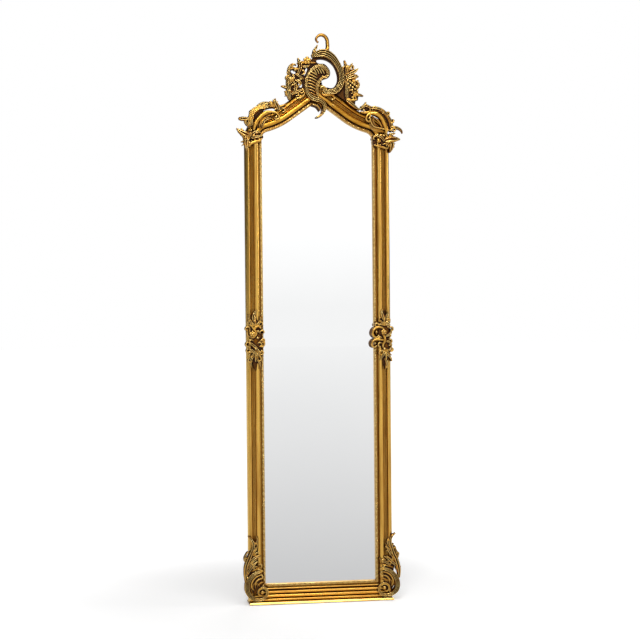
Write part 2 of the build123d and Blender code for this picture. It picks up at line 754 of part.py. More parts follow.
crest_front = moulding_front
crest_back = moulding_front + crest_board_thickness
crest_cut = (crest_front - cut_margin, crest_back + cut_margin)
crest_board = slab(crest_outline(board_outline), crest_front, crest_back)
crest_board -= slab(crest_outline(crescent_piercing), *crest_cut)
for piercing in oval_piercings:
    crest_board -= slab(oval(*piercing), *crest_cut)
crest_board -= slab(arched_face(member_width, plinth_top), *crest_cut)
crest_board -= dowel_holes
crest_dowels = []
for x in dowel_places:
    level = contour_height(x)
    crest_dowels.append(upright_rod(x, dowel_line, dowel_radius, level - dowel_depth, level + dowel_depth))

# The whole mirror, node by node
nodes = {
    **frame_members,
    **sight_strips,
    "mirror_glass": mirror_glass,
    "backing_board": backing_board,
    "setting_blocks": setting_blocks,
    "retaining_clips": retaining_clips,
    "clip_screws": clip_screws,
    "corner_plates": corner_plates,
    "mending_plates": mending_plates,
    "plate_screws": plate_screws,
    "base_plinth": base_plinth,
    "plinth_screws": plinth_screws,
    "felt_pads": felt_pads,
    "left_hanger_strap": hanger_strap(-1),
    "right_hanger_strap": hanger_strap(1),
    "left_hanger_ring": hanger_ring(-1),
    "right_hanger_ring": hanger_ring(1),
    "strap_screws": strap_screws,
    "crest_board": crest_board,
    "crest_dowels": crest_dowels,
    "crest_plume": plume,
    "crest_scroll": crest_scroll,
    "flower_spray": flower_spray,
    "floral_drop": floral_drop,
    "left_shoulder_scroll": left_shoulder_scroll,
    "right_shoulder_scroll": right_shoulder_scroll,
    "left_clasp": left_clasp,
    "right_clasp": right_clasp,
    "left_foot_scroll": left_foot_scroll,
    "right_foot_scroll": right_foot_scroll,
    "left_middle_ornament": left_middle_ornament,
    "right_middle_ornament": right_middle_ornament,
}

for name, shape in nodes.items():
    if isinstance(shape, list):
        solids = [solid for piece in shape for solid in piece.solids()]
        shape = Compound(children=solids)
    export_step(shape, f"parts/{name}.step")
    print(name, len(shape.solids()), round(shape.volume), shape.is_valid)
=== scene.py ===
# %% [markdown]
# A tall gilded floor mirror in the rococo taste. The construction is already there as a packed
# model, with every board, screw and ring at its real size. This lesson dresses it: fine mouldings,
# carved scrolls, old gold and a clear mirror. The model is loaded first, because each new piece
# takes its place from it.

# %% The imported model
import math
import bpy
from mathutils import Matrix, Vector


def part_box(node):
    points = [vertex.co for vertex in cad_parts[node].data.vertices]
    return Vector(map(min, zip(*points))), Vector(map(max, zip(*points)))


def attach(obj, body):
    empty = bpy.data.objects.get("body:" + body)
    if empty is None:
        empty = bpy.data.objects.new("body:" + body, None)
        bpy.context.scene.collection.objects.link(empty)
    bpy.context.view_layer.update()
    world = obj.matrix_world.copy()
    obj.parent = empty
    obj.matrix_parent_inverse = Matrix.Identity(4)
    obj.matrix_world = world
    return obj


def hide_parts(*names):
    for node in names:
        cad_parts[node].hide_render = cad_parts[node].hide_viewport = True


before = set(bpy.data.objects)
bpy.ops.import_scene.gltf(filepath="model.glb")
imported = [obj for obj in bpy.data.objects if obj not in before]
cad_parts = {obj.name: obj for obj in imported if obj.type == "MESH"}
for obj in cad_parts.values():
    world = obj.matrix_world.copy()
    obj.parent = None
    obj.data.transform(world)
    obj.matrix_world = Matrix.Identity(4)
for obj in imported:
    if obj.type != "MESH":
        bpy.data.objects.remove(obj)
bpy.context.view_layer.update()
mm = 0.001

# %% [markdown]
# The camera stands a little left of the middle, at chest height, nearly five metres away, with a
# long lens. That keeps the uprights almost parallel, as they are in the picture. It could be aimed
# with a tracking constraint, but three plain angles say the same and stay put.

# %% Camera
camera_eye = Vector((-0.7323, -4.708, 0.9364))
camera_yaw = 0.15545
camera_pitch = -0.009018
camera_roll = -0.00886
camera_lens = 84.375

camera_data = bpy.data.cameras.new("camera")
camera_data.lens = camera_lens
camera_data.sensor_width = 36.0
camera = bpy.data.objects.new("camera", camera_data)
turn = Matrix.Rotation(-camera_yaw, 4, "Z")
tilt = Matrix.Rotation(math.pi / 2 + camera_pitch, 4, "X")
roll = Matrix.Rotation(camera_roll, 4, "Z")
camera.matrix_world = Matrix.Translation(camera_eye) @ turn @ tilt @ roll
bpy.context.scene.collection.objects.link(camera)
bpy.context.scene.camera = camera
bpy.context.scene.view_settings.view_transform = "Standard"
print("camera at", tuple(round(value, 3) for value in camera_eye))

# %% [markdown]
# Materials are built from nodes. A small helper adds one node and sets or joins its sockets, and
# the others wrap the nodes that are used most, so that a material reads from top to bottom like a
# recipe.

# %% Node helpers
def new_material(name):
    """An empty node material, its tree and its output node."""
    material = bpy.data.materials.new(name)
    material.use_nodes = True
    tree = material.node_tree
    tree.nodes.clear()
    output = tree.nodes.new("ShaderNodeOutputMaterial")
    return material, tree, output


def add(tree, kind, settings=None, **sockets):
    """A node with its settings and its unlinked sockets set, or linked where a socket is given."""
    node = tree.nodes.new("ShaderNode" + kind)
    for key, value in (settings or {}).items():
        setattr(node, key, value)
    for key, value in sockets.items():
        socket = node.inputs[int(key[1:])] if key[0] == "i" and key[1:].isdigit() else node.inputs[key]
        if isinstance(value, bpy.types.NodeSocket):
            tree.links.new(value, socket)
        else:
            socket.default_value = value
    return node


def ramp(tree, factor, *stops):
    """A colour ramp from (position, colour or grey value) pairs."""
    node = tree.nodes.new("ShaderNodeValToRGB")
    tree.links.new(factor, node.inputs["Fac"])
    while len(node.color_ramp.elements) < len(stops):
        node.color_ramp.elements.new(0.5)
    for element, (position, colour) in zip(node.color_ramp.elements, stops):
        element.position = position
        element.color = (*colour, 1) if isinstance(colour, tuple) else (colour, colour, colour, 1)
    return node.outputs["Color"]


def combine(tree, operation, first, second):
    """A clamped sum, product or other arithmetic of two values."""
    return add(tree, "Math", {"operation": operation, "use_clamp": True}, i0=first, i1=second).outputs[0]


def blend_colours(tree, factor, first, second):
    """The first colour where the factor is 0, the second where it is 1."""
    node = add(tree, "Mix", {"data_type": "RGBA"}, i0=factor, i6=first, i7=second)
    return node.outputs[2]


def remapped(tree, value, start, end, low, high, smooth=True):
    """The value carried from start and end to low and high, and held there beyond them."""
    style = {"interpolation_type": "SMOOTHSTEP"} if smooth else None
    node = add(tree, "MapRange", style, Value=value)
    node.inputs["From Min"].default_value = start
    node.inputs["From Max"].default_value = end
    node.inputs["To Min"].default_value = low
    node.inputs["To Max"].default_value = high
    return node.outputs["Result"]


# %% [markdown]
# The room is a plain white studio. The floor is a real matt surface, so it keeps the soft shadow of
# the foot; what the camera sees of it is lifted to white. What the glass sees of it is a gradient
# from light grey close by to white far off, which is what makes a plain mirror read as a mirror.

# %% Floor
floor_size = 60.0
floor_colour = (0.80, 0.80, 0.80, 1)
near_glow = 0.42
far_glow = 1.0
glow_start = 0.45
glow_end = 1.8
near_grey = (0.585, 0.585, 0.59, 1)
far_white = (0.985, 0.985, 0.985, 1)
fade_distance = 4.7

bpy.ops.object.select_all(action="DESELECT")
bpy.ops.mesh.primitive_plane_add(size=floor_size)
floor = bpy.context.object
floor.name = "studio_floor"
material, tree, output = new_material("studio_floor")
place = add(tree, "TexCoord").outputs["Object"]
distance = add(tree, "VectorMath", {"operation": "LENGTH"}, i0=place).outputs["Value"]
beyond = add(tree, "Math", {"operation": "ADD"}, i0=distance, i1=fade_distance).outputs[0]
fade = add(tree, "Math", {"operation": "DIVIDE"}, i0=distance, i1=beyond).outputs[0]
mirrored_floor = add(tree, "Emission", Color=blend_colours(tree, fade, near_grey, far_white))
glow = remapped(tree, distance, glow_start, glow_end, near_glow, far_glow)
rays = add(tree, "LightPath")
seen = rays.outputs["Is Camera Ray"]
lift = add(tree, "Math", {"operation": "MULTIPLY"}, i0=seen, i1=glow).outputs[0]
matt = add(tree, "BsdfDiffuse", Color=floor_colour)
light = add(tree, "Emission", Color=(1, 1, 1, 1), Strength=lift)
both = add(tree, "AddShader", i0=matt.outputs[0], i1=light.outputs[0])
sharp = combine(tree, "ADD", rays.outputs["Is Glossy Ray"], rays.outputs["Is Transmission Ray"])
shown = add(tree, "MixShader", i0=sharp, i1=both.outputs[0], i2=mirrored_floor.outputs[0])
tree.links.new(shown.outputs[0], output.inputs["Surface"])
floor.data.materials.append(material)

# %% [markdown]
# The surroundings are white where the camera looks. Gold needs something darker to reflect as
# well, or it looks like yellow paint, so for every other ray the studio is half bright in front and
# falls off to the sides and behind, like a dim room. A white panel hangs in front, where the glass
# mirrors it, and four soft lamps put the highlights on the gold.

# %% Studio light
side_level = 0.05
front_level = 0.52
rear_level = 0.25
panel_way = (0.16, -0.985, 0.0)
panel_low = 0.945
panel_high = 1.08
panel_rise = 0.06
panel_edge = (0.90, 0.965)
side_fade = (0.18, 0.75)
rear_fade = (-0.5, 0.2)
aim_height = 0.95

world = bpy.data.worlds.new("studio")
bpy.context.scene.world = world
world.use_nodes = True
tree = world.node_tree
tree.nodes.clear()
direction = add(tree, "TexCoord").outputs["Generated"]
parts = add(tree, "SeparateXYZ", Vector=direction)
across = add(tree, "Math", {"operation": "ABSOLUTE"}, i0=parts.outputs["X"]).outputs[0]
sideways = remapped(tree, across, *side_fade, front_level, side_level)
forward = remapped(tree, parts.outputs["Y"], *rear_fade, 1.0, rear_level)
level = add(tree, "Math", {"operation": "MULTIPLY"}, i0=sideways, i1=forward).outputs[0]
facing = add(tree, "VectorMath", {"operation": "DOT_PRODUCT"}, i0=direction, i1=panel_way)
inside = remapped(tree, facing.outputs["Value"], *panel_edge, 0.0, 1.0)
panel = remapped(tree, parts.outputs["Z"], 0.0, panel_rise, panel_low, panel_high, smooth=False)
lit = add(tree, "Mix", {"data_type": "FLOAT"}, i0=inside, i2=level, i3=panel).outputs[0]
rays = add(tree, "LightPath")
seen = rays.outputs["Is Camera Ray"]
shown = add(tree, "Mix", {"data_type": "FLOAT"}, i0=seen, i2=lit, i3=1.0)
background = add(tree, "Background", Color=(1, 1, 1, 1), Strength=shown.outputs[0])
output = add(tree, "OutputWorld", Surface=background.outputs[0])

soft_boxes = [
    ("key_light", (-0.9, -3.0, 3.3), 0.9, 46.0),
    ("fill_light", (3.0, -0.5, 1.6), 0.9, 16.0),
    ("top_light", (0.2, -0.9, 3.8), 1.2, 34.0),
    ("back_light", (1.2, 3.0, 2.2), 1.6, 26.0),
]
for name, spot, size, power in soft_boxes:
    lamp = bpy.data.lights.new(name, "AREA")
    lamp.size = size
    lamp.energy = power
    box = bpy.data.objects.new(name, lamp)
    aim = Vector((0, 0, aim_height)) - Vector(spot)
    box.matrix_world = Matrix.Translation(spot) @ aim.to_track_quat("-Z", "Y").to_matrix().to_4x4()
    bpy.context.scene.collection.objects.link(box)
print("lamps", len(soft_boxes))

# %% [markdown]
# Old gilding is leaf over gesso and red clay, orange on the flats. Its colour also carries painted
# light: a painted highlight on the edges, where the leaf is also rubbed, and painted shade in the
# hollows and on the sides of strokes, which also stands for wax and dust settled there. Painting
# that by hand would take an image, so the surface itself decides: ambient occlusion finds the
# hollows, pointiness finds the edges, and two noises break both up. On the carvings the low ground
# gets painted shade as well. Where the painted shade is darkest the surface is no longer metal, and
# the backs, which nobody gilds, are raw wood.

# %% Gilding
leaf_gold = (0.86, 0.445, 0.058)
# The next two colours are painted highlights for the convex edges, where the leaf is also rubbed.
pale_highlight_gold = (1.0, 0.66, 0.18)
rubbed_highlight_gold = (1.0, 0.74, 0.27)
worn_gold = (0.52, 0.215, 0.020)
# The next two colours are painted shade: shaded gold for the sides of strokes, and near-black for the
# hollows, which also stands for wax and dust there.
painted_shade_gold = (0.36, 0.13, 0.010)
wax_and_painted_shade = (0.040, 0.012, 0.002)
pale_wood = (0.36, 0.22, 0.11)
dark_wood = (0.22, 0.12, 0.055)
cloud_scale = 11.0
speck_scale = 260.0
speck_reach = 0.10
# Painted shade on the low ground of a carving: none this far in front of the mouldings, full this close to
# them, and this much of the openness taken off.
ground_start = 7.5 * mm
ground_end = 1.0 * mm
low_ground_shade = 0.62
moulding_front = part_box("right_stile")[0].y


def gilding(name, leaf, rubbed_highlight, grain, reach, stops, edge_start, edge_end, shade_low_ground=False):
    """Aged gold leaf with painted highlight and painted shade. Grain stretches its streaks, reach is how
    far ambient occlusion looks for the hollows that get painted shade, and stops are the openness at
    which the darkest painted shade, the shaded gold and the clean leaf begin. When the last argument
    is set, as for carvings, the low ground gets painted shade as well."""
    material, tree, output = new_material(name)
    place = add(tree, "TexCoord").outputs["Object"]
    stretched = add(tree, "Mapping", Vector=place, Scale=grain).outputs[0]
    cloud = add(tree, "TexNoise", Vector=stretched, Scale=cloud_scale, Detail=6.0, Roughness=0.66)
    cloud = cloud.outputs["Fac"]
    speck = add(tree, "TexNoise", Vector=place, Scale=speck_scale, Detail=4.0, Roughness=0.7)
    speck = speck.outputs["Fac"]
    # Painted shade follows this openness: ambient occlusion finds the hollows, a fine noise breaks it up,
    # and concave pointiness darkens the creases.
    hollow = add(tree, "AmbientOcclusion", {"samples": 12}, Distance=reach).outputs["AO"]
    point = add(tree, "NewGeometry").outputs["Pointiness"]
    scatter = remapped(tree, speck, 0.0, 1.0, -speck_reach, speck_reach, smooth=False)
    openness = combine(tree, "ADD", hollow, scatter)
    sunk = ramp(tree, point, (0.452, 0.75), (0.494, 0.0))
    openness = combine(tree, "SUBTRACT", openness, sunk)
    # On carvings, painted shade on the low ground, darker the further back it lies.
    if shade_low_ground:
        front = add(tree, "SeparateXYZ", Vector=place).outputs["Y"]
        start = moulding_front - ground_start
        end = moulding_front - ground_end
        low = remapped(tree, front, start, end, 0.0, low_ground_shade, smooth=False)
        openness = combine(tree, "SUBTRACT", openness, low)
    clean = blend_colours(tree, ramp(tree, cloud, (0.36, 1.0), (0.58, 0.0)), (*leaf, 1), (*worn_gold, 1))
    # Painted highlight on the convex edges, where the leaf is also rubbed, broken up by the cloud.
    edge = ramp(tree, point, (edge_start, 0.0), (edge_end, 1.0))
    edge = combine(tree, "MULTIPLY", edge, ramp(tree, cloud, (0.30, 0.45), (0.56, 1.0)))
    clean = blend_colours(tree, edge, clean, (*rubbed_highlight, 1))
    # Painted shade: nearly black where the openness is lowest, which also stands for wax and dust, then
    # shaded gold, then the clean leaf.
    shaded = ramp(tree, openness, (stops[0], wax_and_painted_shade), (stops[1], painted_shade_gold))
    tone = blend_colours(tree, ramp(tree, openness, (stops[1], 0.0), (stops[2], 1.0)), shaded, clean)
    metal = ramp(tree, openness, (stops[0], 0.1), (stops[1], 1.0))
    rough = ramp(tree, openness, (stops[0], 0.60), (stops[2], 0.24))
    rough = combine(tree, "ADD", rough, ramp(tree, cloud, (0.35, 0.12), (0.65, 0.0)))
    normal = add(tree, "TexCoord").outputs["Normal"]
    backward = add(tree, "SeparateXYZ", Vector=normal).outputs["Y"]
    rearward = ramp(tree, backward, (0.55, 0.0), (0.75, 1.0))
    wood = ramp(tree, cloud, (0.38, dark_wood), (0.62, pale_wood))
    tone = blend_colours(tree, rearward, tone, wood)
    metal = combine(tree, "SUBTRACT", metal, rearward)
    rough = combine(tree, "ADD", rough, combine(tree, "MULTIPLY", rearward, 0.4))
    skin = add(tree, "Bump", Strength=0.25, Distance=0.0006, Height=speck)
    swell = add(tree, "Bump", Strength=0.5, Distance=0.0012, Height=cloud, Normal=skin.outputs[0])
    shader = add(
        tree, "BsdfPrincipled", Metallic=metal, Roughness=rough, Normal=swell.outputs[0],
        **{"Base Color": tone, "Specular IOR Level": 0.2},
    )
    tree.links.new(shader.outputs[0], output.inputs["Surface"])
    return material


upright_grain = (7.0, 7.0, 0.45)
level_grain = (0.45, 7.0, 7.0)
even_grain = (4.0, 4.0, 4.0)
# Openness at which the darkest painted shade, the shaded gold and the clean leaf begin, for each kind of
# gilding.
moulding_stops = (0.12, 0.36, 0.62)
carving_stops = (0.30, 0.58, 0.84)
strip_stops = (0.45, 0.72, 0.95)
gildings = {}
for name, leaf, rubbed_highlight, grain, reach, stops, edge_start, edge_end, shade_low_ground in (
    ("upright_gold", leaf_gold, pale_highlight_gold, upright_grain, 0.006, moulding_stops, 0.54, 0.62, False),
    ("level_gold", leaf_gold, pale_highlight_gold, level_grain, 0.006, moulding_stops, 0.54, 0.62, False),
    ("carved_gold", leaf_gold, rubbed_highlight_gold, even_grain, 0.006, carving_stops, 0.506, 0.535, True),
    ("strip_gold", worn_gold, rubbed_highlight_gold, even_grain, 0.008, strip_stops, 0.50, 0.58, False),
):
    gildings[name] = gilding(name, leaf, rubbed_highlight, grain, reach, stops, edge_start, edge_end, shade_low_ground)
upright_gold = gildings["upright_gold"]
level_gold = gildings["level_gold"]
carved_gold = gildings["carved_gold"]
strip_gold = gildings["strip_gold"]
print("gildings", sorted(gildings))

# %% [markdown]
# The straight mouldings are planed or run in gesso with a shaped scraper, so their section never
# changes. Each section is drawn once, from the sight edge outward. The uprights and the arch have a
# ledge, a dark quirk, a broad flattened band, three fine reeds in the hollow and a bead that falls
# away at the outside; the bottom rail has one small reed and three bold ones. Each rounded member
# is half an ellipse, made fuller where needed, and a short formula gives its points.

# %% Section of the moulding
stile_low, stile_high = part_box("right_stile")
outer_half = stile_high.x
sight_half = stile_low.x
spring_height = stile_high.z
plinth_top = stile_low.z
member_width = outer_half - sight_half
moulding_back = stile_high.y
lip_back = -3.0 * mm
ledge_depth = -8.0 * mm
rebate_width = 8.0 * mm


def rounded(start, end, edge_depth, crown_depth, fullness=1.0, steps=8):
    """Points over one rounded member, from one edge to the other, as (offset, depth)."""
    points = []
    for step in range(steps + 1):
        angle = math.pi * step / steps
        rise = math.sin(angle) ** fullness
        offset = (start + end) / 2 - (end - start) / 2 * math.cos(angle)
        points.append((offset * mm, (edge_depth + (crown_depth - edge_depth) * rise) * mm))
    return points


outer_slope = [(47.6, -18.6), (49.4, -17.0), (51.2, -14.8), (52.8, -12.0), (54.0, -8.5)]
bead_points = 8
back_points = [(member_width, moulding_back), (rebate_width, moulding_back), (rebate_width, lip_back)]
ledge_points = [(0, lip_back), (0, ledge_depth), (9.2 * mm, ledge_depth)]
moulding_section = ledge_points + [(9.8 * mm, -6.8 * mm), (12.0 * mm, -6.8 * mm)]
moulding_section += rounded(12.8, 27.6, -12.5, -20.0, fullness=0.62, steps=12)
moulding_section += rounded(28.4, 31.8, -11.0, -14.6, steps=6)
moulding_section += rounded(32.2, 35.2, -10.0, -12.8, steps=6)
moulding_section += rounded(35.6, 39.0, -10.6, -14.2, steps=6)
moulding_section += rounded(40.4, 47.0, -14.5, -20.0, steps=10)[:bead_points]
moulding_section += [(offset * mm, depth * mm) for offset, depth in outer_slope]
moulding_section += back_points
rail_section = ledge_points + [(9.8 * mm, -6.8 * mm), (11.8 * mm, -6.8 * mm)]
rail_section += rounded(12.2, 17.4, -9.0, -14.0, steps=8)
rail_section += [(18.0 * mm, -6.5 * mm), (20.8 * mm, -6.5 * mm)]
rail_section += rounded(21.4, 30.4, -10.5, -17.5, steps=10)
rail_section += [(31.0 * mm, -8.5 * mm), (32.2 * mm, -8.5 * mm)]
rail_section += rounded(32.8, 43.0, -11.0, -18.6, steps=10)
rail_section += [(43.5 * mm, -9.0 * mm), (44.5 * mm, -9.0 * mm)]
rail_section += rounded(45.0, 54.0, -12.0, -19.6, steps=10)
rail_section += back_points
print("section points", len(moulding_section), len(rail_section), "width", round(member_width / mm, 1))

# %% [markdown]
# A length of moulding starts as that section, laid as one flat face. Extruding it makes a straight
# upright; spinning it about the middle of a curve bends it through the shoulder and then, the other
# way, through the ogee. A curve with a bevel would also do, but spin keeps the arcs true.

# %% Sweeping a section
shoulder_radius = 25.0 * mm
shoulder_turn = math.radians(75.0)
ogee_radius = 230.0 * mm
gable_slope = math.radians(36.0)
ogee_turn = shoulder_turn - (math.pi / 2 - gable_slope)
shoulder_centre = Vector((sight_half - shoulder_radius, 0, spring_height))
ogee_reach = shoulder_radius + ogee_radius
ogee_centre = shoulder_centre + ogee_reach * Vector((math.cos(shoulder_turn), 0, math.sin(shoulder_turn)))


def only(thing):
    """Select one object alone and make it the active one."""
    bpy.ops.object.select_all(action="DESELECT")
    thing.select_set(True)
    bpy.context.view_layer.objects.active = thing


def section_face(name, section, corner, across, depth):
    """The section as one face: across and depth are the directions of its two axes."""
    mesh = bpy.data.meshes.new(name)
    points = [corner + offset * across + rise * depth for offset, rise in section]
    mesh.from_pydata(points, [], [list(range(len(points)))])
    piece = bpy.data.objects.new(name, mesh)
    bpy.context.scene.collection.objects.link(piece)
    only(piece)
    return piece


def cut(point, normal):
    """In edit mode, cut the whole piece with a plane, drop what the normal points at, and close it."""
    bpy.ops.mesh.select_all(action="SELECT")
    bpy.ops.mesh.bisect(plane_co=point, plane_no=normal, use_fill=True, clear_outer=True)


def close_up(piece, angle=35.0):
    """Leave edit mode with the faces outward and the soft edges smooth."""
    bpy.ops.mesh.select_all(action="SELECT")
    bpy.ops.mesh.remove_doubles(threshold=0.00001)
    bpy.ops.mesh.normals_make_consistent(inside=False)
    bpy.ops.object.mode_set(mode="OBJECT")
    only(piece)
    bpy.ops.object.shade_smooth_by_angle(angle=math.radians(angle))


def right_upright(name, section):
    """The right-hand stile: the section drawn up to the spring line, its foot mitred."""
    corner = Vector((sight_half, 0, plinth_top))
    piece = section_face(name, section, corner, Vector((1, 0, 0)), Vector((0, 1, 0)))
    bpy.ops.object.mode_set(mode="EDIT")
    bpy.ops.mesh.select_all(action="SELECT")
    bpy.ops.mesh.extrude_region_move(TRANSFORM_OT_translate={"value": (0, 0, spring_height - plinth_top)})
    cut((outer_half, 0, plinth_top), (-1, 0, -1))
    close_up(piece)
    return piece


def lower_rail(name, section):
    """The rail on the plinth, mitred at both ends."""
    corner = Vector((-outer_half, 0, plinth_top + member_width))
    piece = section_face(name, section, corner, Vector((0, 0, -1)), Vector((0, 1, 0)))
    bpy.ops.object.mode_set(mode="EDIT")
    bpy.ops.mesh.select_all(action="SELECT")
    bpy.ops.mesh.extrude_region_move(TRANSFORM_OT_translate={"value": (2 * outer_half, 0, 0)})
    cut((outer_half, 0, plinth_top), (1, 0, 1))
    cut((-outer_half, 0, plinth_top), (-1, 0, 1))
    close_up(piece)
    return piece


def right_arch(name, section):
    """The right half of the arched top: shoulder, ogee and straight gable to the middle."""
    corner = Vector((sight_half, 0, spring_height))
    piece = section_face(name, section, corner, Vector((1, 0, 0)), Vector((0, 1, 0)))
    bpy.ops.object.mode_set(mode="EDIT")
    bpy.ops.mesh.select_all(action="SELECT")
    bpy.ops.mesh.spin(steps=16, angle=shoulder_turn, center=shoulder_centre, axis=(0, 1, 0))
    bpy.ops.mesh.spin(steps=24, angle=-ogee_turn, center=ogee_centre, axis=(0, 1, 0))
    run = sight_half
    step = (-run, 0, run * math.tan(gable_slope))
    bpy.ops.mesh.extrude_region_move(TRANSFORM_OT_translate={"value": step})
    cut((0, 0, 0), (-1, 0, 0))
    close_up(piece)
    return piece


def mirrored(piece, name):
    """A left-hand copy with its own mesh, its faces turned outward again."""
    copy = piece.copy()
    copy.data = piece.data.copy()
    copy.name = name
    copy.data.transform(Matrix.Scale(-1, 4, (1, 0, 0)))
    copy.data.flip_normals()
    bpy.context.scene.collection.objects.link(copy)
    return copy


def finish_piece(piece, node, slot, *materials):
    """Give a piece its finish and its place in the mirror."""
    for material in materials:
        piece.data.materials.append(material)
    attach(piece, "mirror")
    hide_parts(node)


# %% [markdown]
# Five lengths make the frame: two stiles, the lower rail and the two halves of the arch. They meet
# in mitres, as on a real frame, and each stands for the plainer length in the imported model.

# %% Frame mouldings
right_stile = right_upright("gilt_right_stile", moulding_section)
left_stile = mirrored(right_stile, "gilt_left_stile")
bottom_rail = lower_rail("gilt_bottom_rail", rail_section)
right_top_rail = right_arch("gilt_right_top_rail", moulding_section)
left_top_rail = mirrored(right_top_rail, "gilt_left_top_rail")
finish_piece(right_stile, "right_stile", "gilded_wood", upright_gold)
finish_piece(left_stile, "left_stile", "gilded_wood", upright_gold)
finish_piece(bottom_rail, "bottom_rail", "gilded_wood", level_gold)
finish_piece(right_top_rail, "right_top_rail", "gilded_wood", level_gold)
finish_piece(left_top_rail, "left_top_rail", "gilded_wood", level_gold)
for piece in (right_stile, right_top_rail, bottom_rail):
    print(piece.name, len(piece.data.polygons), tuple(round(value, 3) for value in piece.dimensions))

# %% [markdown]
# The sight edge is lined with a low carved strip: small slanting leaves with a berry between them,
# with a painted highlight on the tops and painted shade, nearly black, in between. One leaf, one
# curl and one berry are modelled once, with few faces, and copied along a path. An array modifier
# could do it, but the path bends and mitres, so each copy is placed by the direction of the path.

# %% Strip and its path
strip_width = 8.5 * mm
strip_line = strip_width / 2
strip_front = ledge_depth - 3.6 * mm
motif_pitch = 17.0 * mm

strip_section = [(0, ledge_depth), (0, ledge_depth - 2.2 * mm)]
strip_section += rounded(0.3, 8.2, -10.4, -12.2, steps=6)
strip_section += [(strip_width, ledge_depth - 2.2 * mm), (strip_width, ledge_depth)]


def arch_path(offset, spacing):
    """Places and directions along the right half of the arch, from the spring line to the apex."""
    shoulder = shoulder_radius + offset
    ogee = ogee_radius - offset
    gable_start = ogee_centre + ogee * Vector((-math.sin(gable_slope), 0, -math.cos(gable_slope)))
    gable_run = gable_start.x / math.cos(gable_slope)
    lengths = (shoulder * shoulder_turn, ogee * ogee_turn, gable_run)
    count = int(sum(lengths) / spacing)
    spots = []
    for index in range(count):
        travel = (index + 0.5) * sum(lengths) / count
        if travel < lengths[0]:
            angle = travel / shoulder
            spot = shoulder_centre + shoulder * Vector((math.cos(angle), 0, math.sin(angle)))
            heading = angle
        elif travel < lengths[0] + lengths[1]:
            heading = shoulder_turn - (travel - lengths[0]) / ogee
            spot = ogee_centre - ogee * Vector((math.cos(heading), 0, math.sin(heading)))
        else:
            heading = math.pi / 2 - gable_slope
            beyond = travel - lengths[0] - lengths[1]
            spot = gable_start + beyond * Vector((-math.cos(gable_slope), 0, math.sin(gable_slope)))
        spots.append((spot, heading))
    return spots


def straight_path(start, end, spacing, heading):
    """Evenly spaced places between two points, all with one direction."""
    count = int((end - start).length / spacing)
    return [(start.lerp(end, (index + 0.5) / count), heading) for index in range(count)]


# %% [markdown]
# Carved scrolls and leaves are all one kind of thing: a stroke of the gouge that swells and tapers
# along a curved line. A Bezier curve with a radius at each point gives the line, and a second, flat
# curve gives the section that is swept along it. Five sections are enough: a plain roll, a fluted
# and a finer reeded band, a leaf with a sunk vein, and a low ground under them all.

# %% Gouge strokes
carving_foot = -0.55


def drawn_section(name, points):
    """A closed section curve, half width 1, its foot below 0, mirrored about its middle."""
    curve = bpy.data.curves.new(name, "CURVE")
    curve.dimensions = "2D"
    curve.fill_mode = "NONE"
    outline = [(-x, y) for x, y in reversed(points) if x > 0] + points
    spline = curve.splines.new("POLY")
    spline.points.add(len(outline) - 1)
    for point, (x, y) in zip(spline.points, outline):
        point.co = (x, y, 0, 1)
    spline.use_cyclic_u = True
    section = bpy.data.objects.new(name, curve)
    bpy.context.scene.collection.objects.link(section)
    return section


plain_roll = drawn_section("plain_roll", [
    (0, 0.95), (0.4, 0.88), (0.75, 0.62), (0.96, 0.2), (1, carving_foot),
])
fluted_band = drawn_section("fluted_band", [
    (0, 1.0), (0.15, 0.96), (0.27, 0.62), (0.38, 0.42), (0.49, 0.55), (0.60, 0.90), (0.72, 0.96),
    (0.84, 0.80), (0.95, 0.35), (1, carving_foot),
])
reeded_band = drawn_section("reeded_band", [
    (0, 0.42), (0.10, 0.52), (0.20, 0.86), (0.32, 0.88), (0.42, 0.55), (0.50, 0.40), (0.58, 0.55),
    (0.68, 0.94), (0.80, 0.98), (0.91, 0.72), (0.98, 0.25), (1, carving_foot),
])
veined_leaf = drawn_section("veined_leaf", [
    (0, 0.30), (0.14, 0.50), (0.34, 0.90), (0.52, 0.96), (0.76, 0.66), (1, 0.10), (1, carving_foot),
])
low_ground = drawn_section("low_ground", [
    (0, 0.12), (0.6, 0.10), (0.95, 0.02), (1, -0.1), (1, carving_foot),
])
sections = (plain_roll, fluted_band, reeded_band, veined_leaf, low_ground)


def gouge(points, section, lift=0.0, depth=10.0, fineness=8):
    """One stroke from (u, v, width) points in millimetres; z is the height over the carving's back."""
    curve = bpy.data.curves.new("stroke", "CURVE")
    curve.dimensions = "3D"
    curve.twist_mode = "Z_UP"
    curve.bevel_mode = "OBJECT"
    curve.bevel_object = section
    curve.use_fill_caps = True
    curve.resolution_u = fineness
    spline = curve.splines.new("BEZIER")
    spline.bezier_points.add(len(points) - 1)
    for bezier, (u, v, width) in zip(spline.bezier_points, points):
        bezier.co = (u, v, 0)
        bezier.radius = width / 2
        bezier.handle_left_type = bezier.handle_right_type = "AUTO"
    stroke = bpy.data.objects.new("stroke", curve)
    bpy.context.scene.collection.objects.link(stroke)
    only(stroke)
    bpy.ops.object.convert(target="MESH")
    stroke = bpy.context.object
    for vertex in stroke.data.vertices:
        vertex.co.z = -depth if vertex.co.z < -0.001 else vertex.co.z + lift
    return stroke


def berry(u, v, radius, lift=0.0, squash=0.8, rings=8):
    """A round bead that stands on the carving."""
    bpy.ops.object.select_all(action="DESELECT")
    place = (u, v, lift)
    bpy.ops.mesh.primitive_uv_sphere_add(segments=2 * rings, ring_count=rings, radius=radius, location=place)
    bead = bpy.context.object
    bpy.ops.object.transform_apply(location=True, rotation=False, scale=False)
    for vertex in bead.data.vertices:
        vertex.co.z = lift + (vertex.co.z - lift) * squash
    return bead


